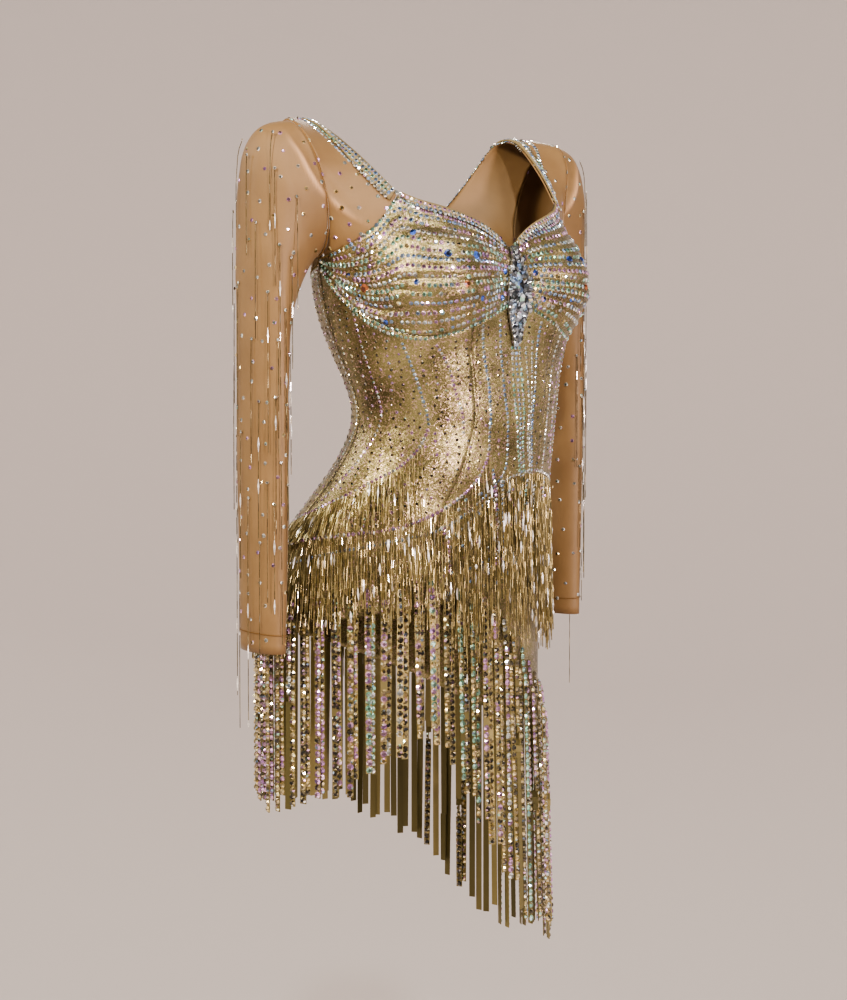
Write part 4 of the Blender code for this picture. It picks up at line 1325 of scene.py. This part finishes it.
def sleeve_strings(side):
    draw = random.Random(130 + side)
    name = name_of(side)
    strings, heads = [], []
    for run, turn, length in SLEEVE_STRINGS:
        turn += draw.uniform(-4, 4)
        top, way = sleeve(turn, run), sleeve_way(turn)
        low = top.z - length * draw.uniform(0.9, 1.08) * MM
        passed = [sleeve(turn, run + (7 - run) * i / 8) for i in range(9)]
        reach = max(passed, key=lambda p: p.dot(way) if p.z > low else -1.0)
        aside = max((reach - top).dot(way), 0.0)
        path = [top + way * 1.2 * MM, top + way * (aside * 0.7 + 1.6 * MM) + Vector((0, 0, -12 * MM))]
        fall = top + way * (aside + 2.0 * MM)
        path += [Vector((fall.x, fall.y, z)) for z in (top.z - 0.5 * (top.z - low), low)]
        path = [on_side(p, side) for p in path]
        strings.append(threaded(path, 0.85, draw, 9.0, 0.06, 0.4))
        heads.append((path[0], on_side(way, side), 3.6, "clear"))
    made = strung("sleeve_strings_" + name, strings, draw)
    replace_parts(made, *(f"sleeve_fringe_{level}_{name}" for level in ("upper", "middle", "lower")))
    stones("sleeve_string_heads_" + name, heads, seed=140 + side)


sleeve_strings(-1)
sleeve_strings(1)

# ---------------------------------------------------------------- studio
# A wide pale bowl is floor and backdrop in one. Small soft lamps stand round the dress, the key on the
# wearer's right. The camera stands on that side too, at the height of the underbust, tilted a little down.

FLOOR = -2.0               # metres below the shoulders
BOWL_START = 2.5           # where the floor begins to turn up
BOWL_ROUND = 2.0


def studio():
    bm = bmesh.new()
    profile = [Vector((0, 0, FLOOR)), Vector((BOWL_START, 0, FLOOR))]
    for i in range(1, 11):
        t = math.pi / 2 * i / 10
        out, up = BOWL_ROUND * math.sin(t), BOWL_ROUND * (1 - math.cos(t))
        profile.append(Vector((BOWL_START + out, 0, FLOOR + up)))
    profile.append(Vector((BOWL_START + BOWL_ROUND, 0, 2.6)))
    points = [bm.verts.new(p) for p in profile]
    edges = [bm.edges.new(pair) for pair in zip(points, points[1:])]
    bmesh.ops.spin(bm, geom=points + edges, cent=(0, 0, 0), axis=(0, 0, 1), angle=math.tau, steps=64,
                   use_merge=True)
    bmesh.ops.remove_doubles(bm, verts=bm.verts, dist=0.0001)
    mesh = mesh_of(bm, "backdrop")
    for face in mesh.polygons:
        face.use_smooth = True
    mesh.materials.append(finish_named("matt_studio_paint", Base_Color=linear("#CBC4C1"), Roughness=0.9)[0])
    linked("backdrop", mesh)


def lamp(name, place, target, size, watts, colour):
    light = bpy.data.lights.new(name, "AREA")
    light.shape = "DISK"
    light.size = size
    light.energy = watts
    light.color = linear(colour)[:3]
    made = linked(name, light)
    made.location = place
    made.rotation_mode = "QUATERNION"
    made.rotation_quaternion = (Vector(target) - Vector(place)).to_track_quat("-Z", "Y")


studio()
lamp("key", (-2.9, -0.7, 1.5), (0, 0, -0.4), 0.45, 128, "#FFF0DA")
lamp("top", (-0.5, -1.7, 2.2), (0, 0, -0.4), 0.4, 36, "#FFF4E6")
lamp("front", (-0.35, -2.6, -0.3), (0, 0, -0.35), 0.22, 70, "#FFE9EA")
lamp("fill", (1.7, -2.3, -0.2), (0, 0, -0.5), 0.6, 5, "#F4F4FF")
lamp("back_left", (1.9, 1.9, 1.0), (0, 0, -0.4), 0.6, 50, "#FFF6EA")
lamp("back_right", (-1.9, 1.9, 0.9), (0, 0, -0.4), 0.6, 36, "#FFF6EA")
lamp("spark", (-1.3, -2.2, 1.9), (0, 0, -0.5), 0.12, 60, "#FFFFFF")
world = bpy.data.worlds.new("studio_air")
bpy.context.scene.world = world
world.use_nodes = True
world.node_tree.nodes["Background"].inputs["Color"].default_value = linear("#C9C6C4")
world.node_tree.nodes["Background"].inputs["Strength"].default_value = 0.35

bpy.context.scene.view_settings.look = "AgX - Medium High Contrast"

VIEW_ANGLE = math.radians(-40)
TILT = math.radians(2.8)
VIEW_METRES = 1.95
camera = bpy.data.cameras.new("camera")
camera.sensor_width = 36
camera.lens = 63.9
camera.shift_x = 0.0035
camera.shift_y = -0.0702
seen = linked("camera", camera)
seen.location = (VIEW_METRES * math.sin(VIEW_ANGLE), -VIEW_METRES * math.cos(VIEW_ANGLE), -0.235)
seen.rotation_euler = (math.pi / 2 - TILT, 0, VIEW_ANGLE)
bpy.context.scene.camera = seen
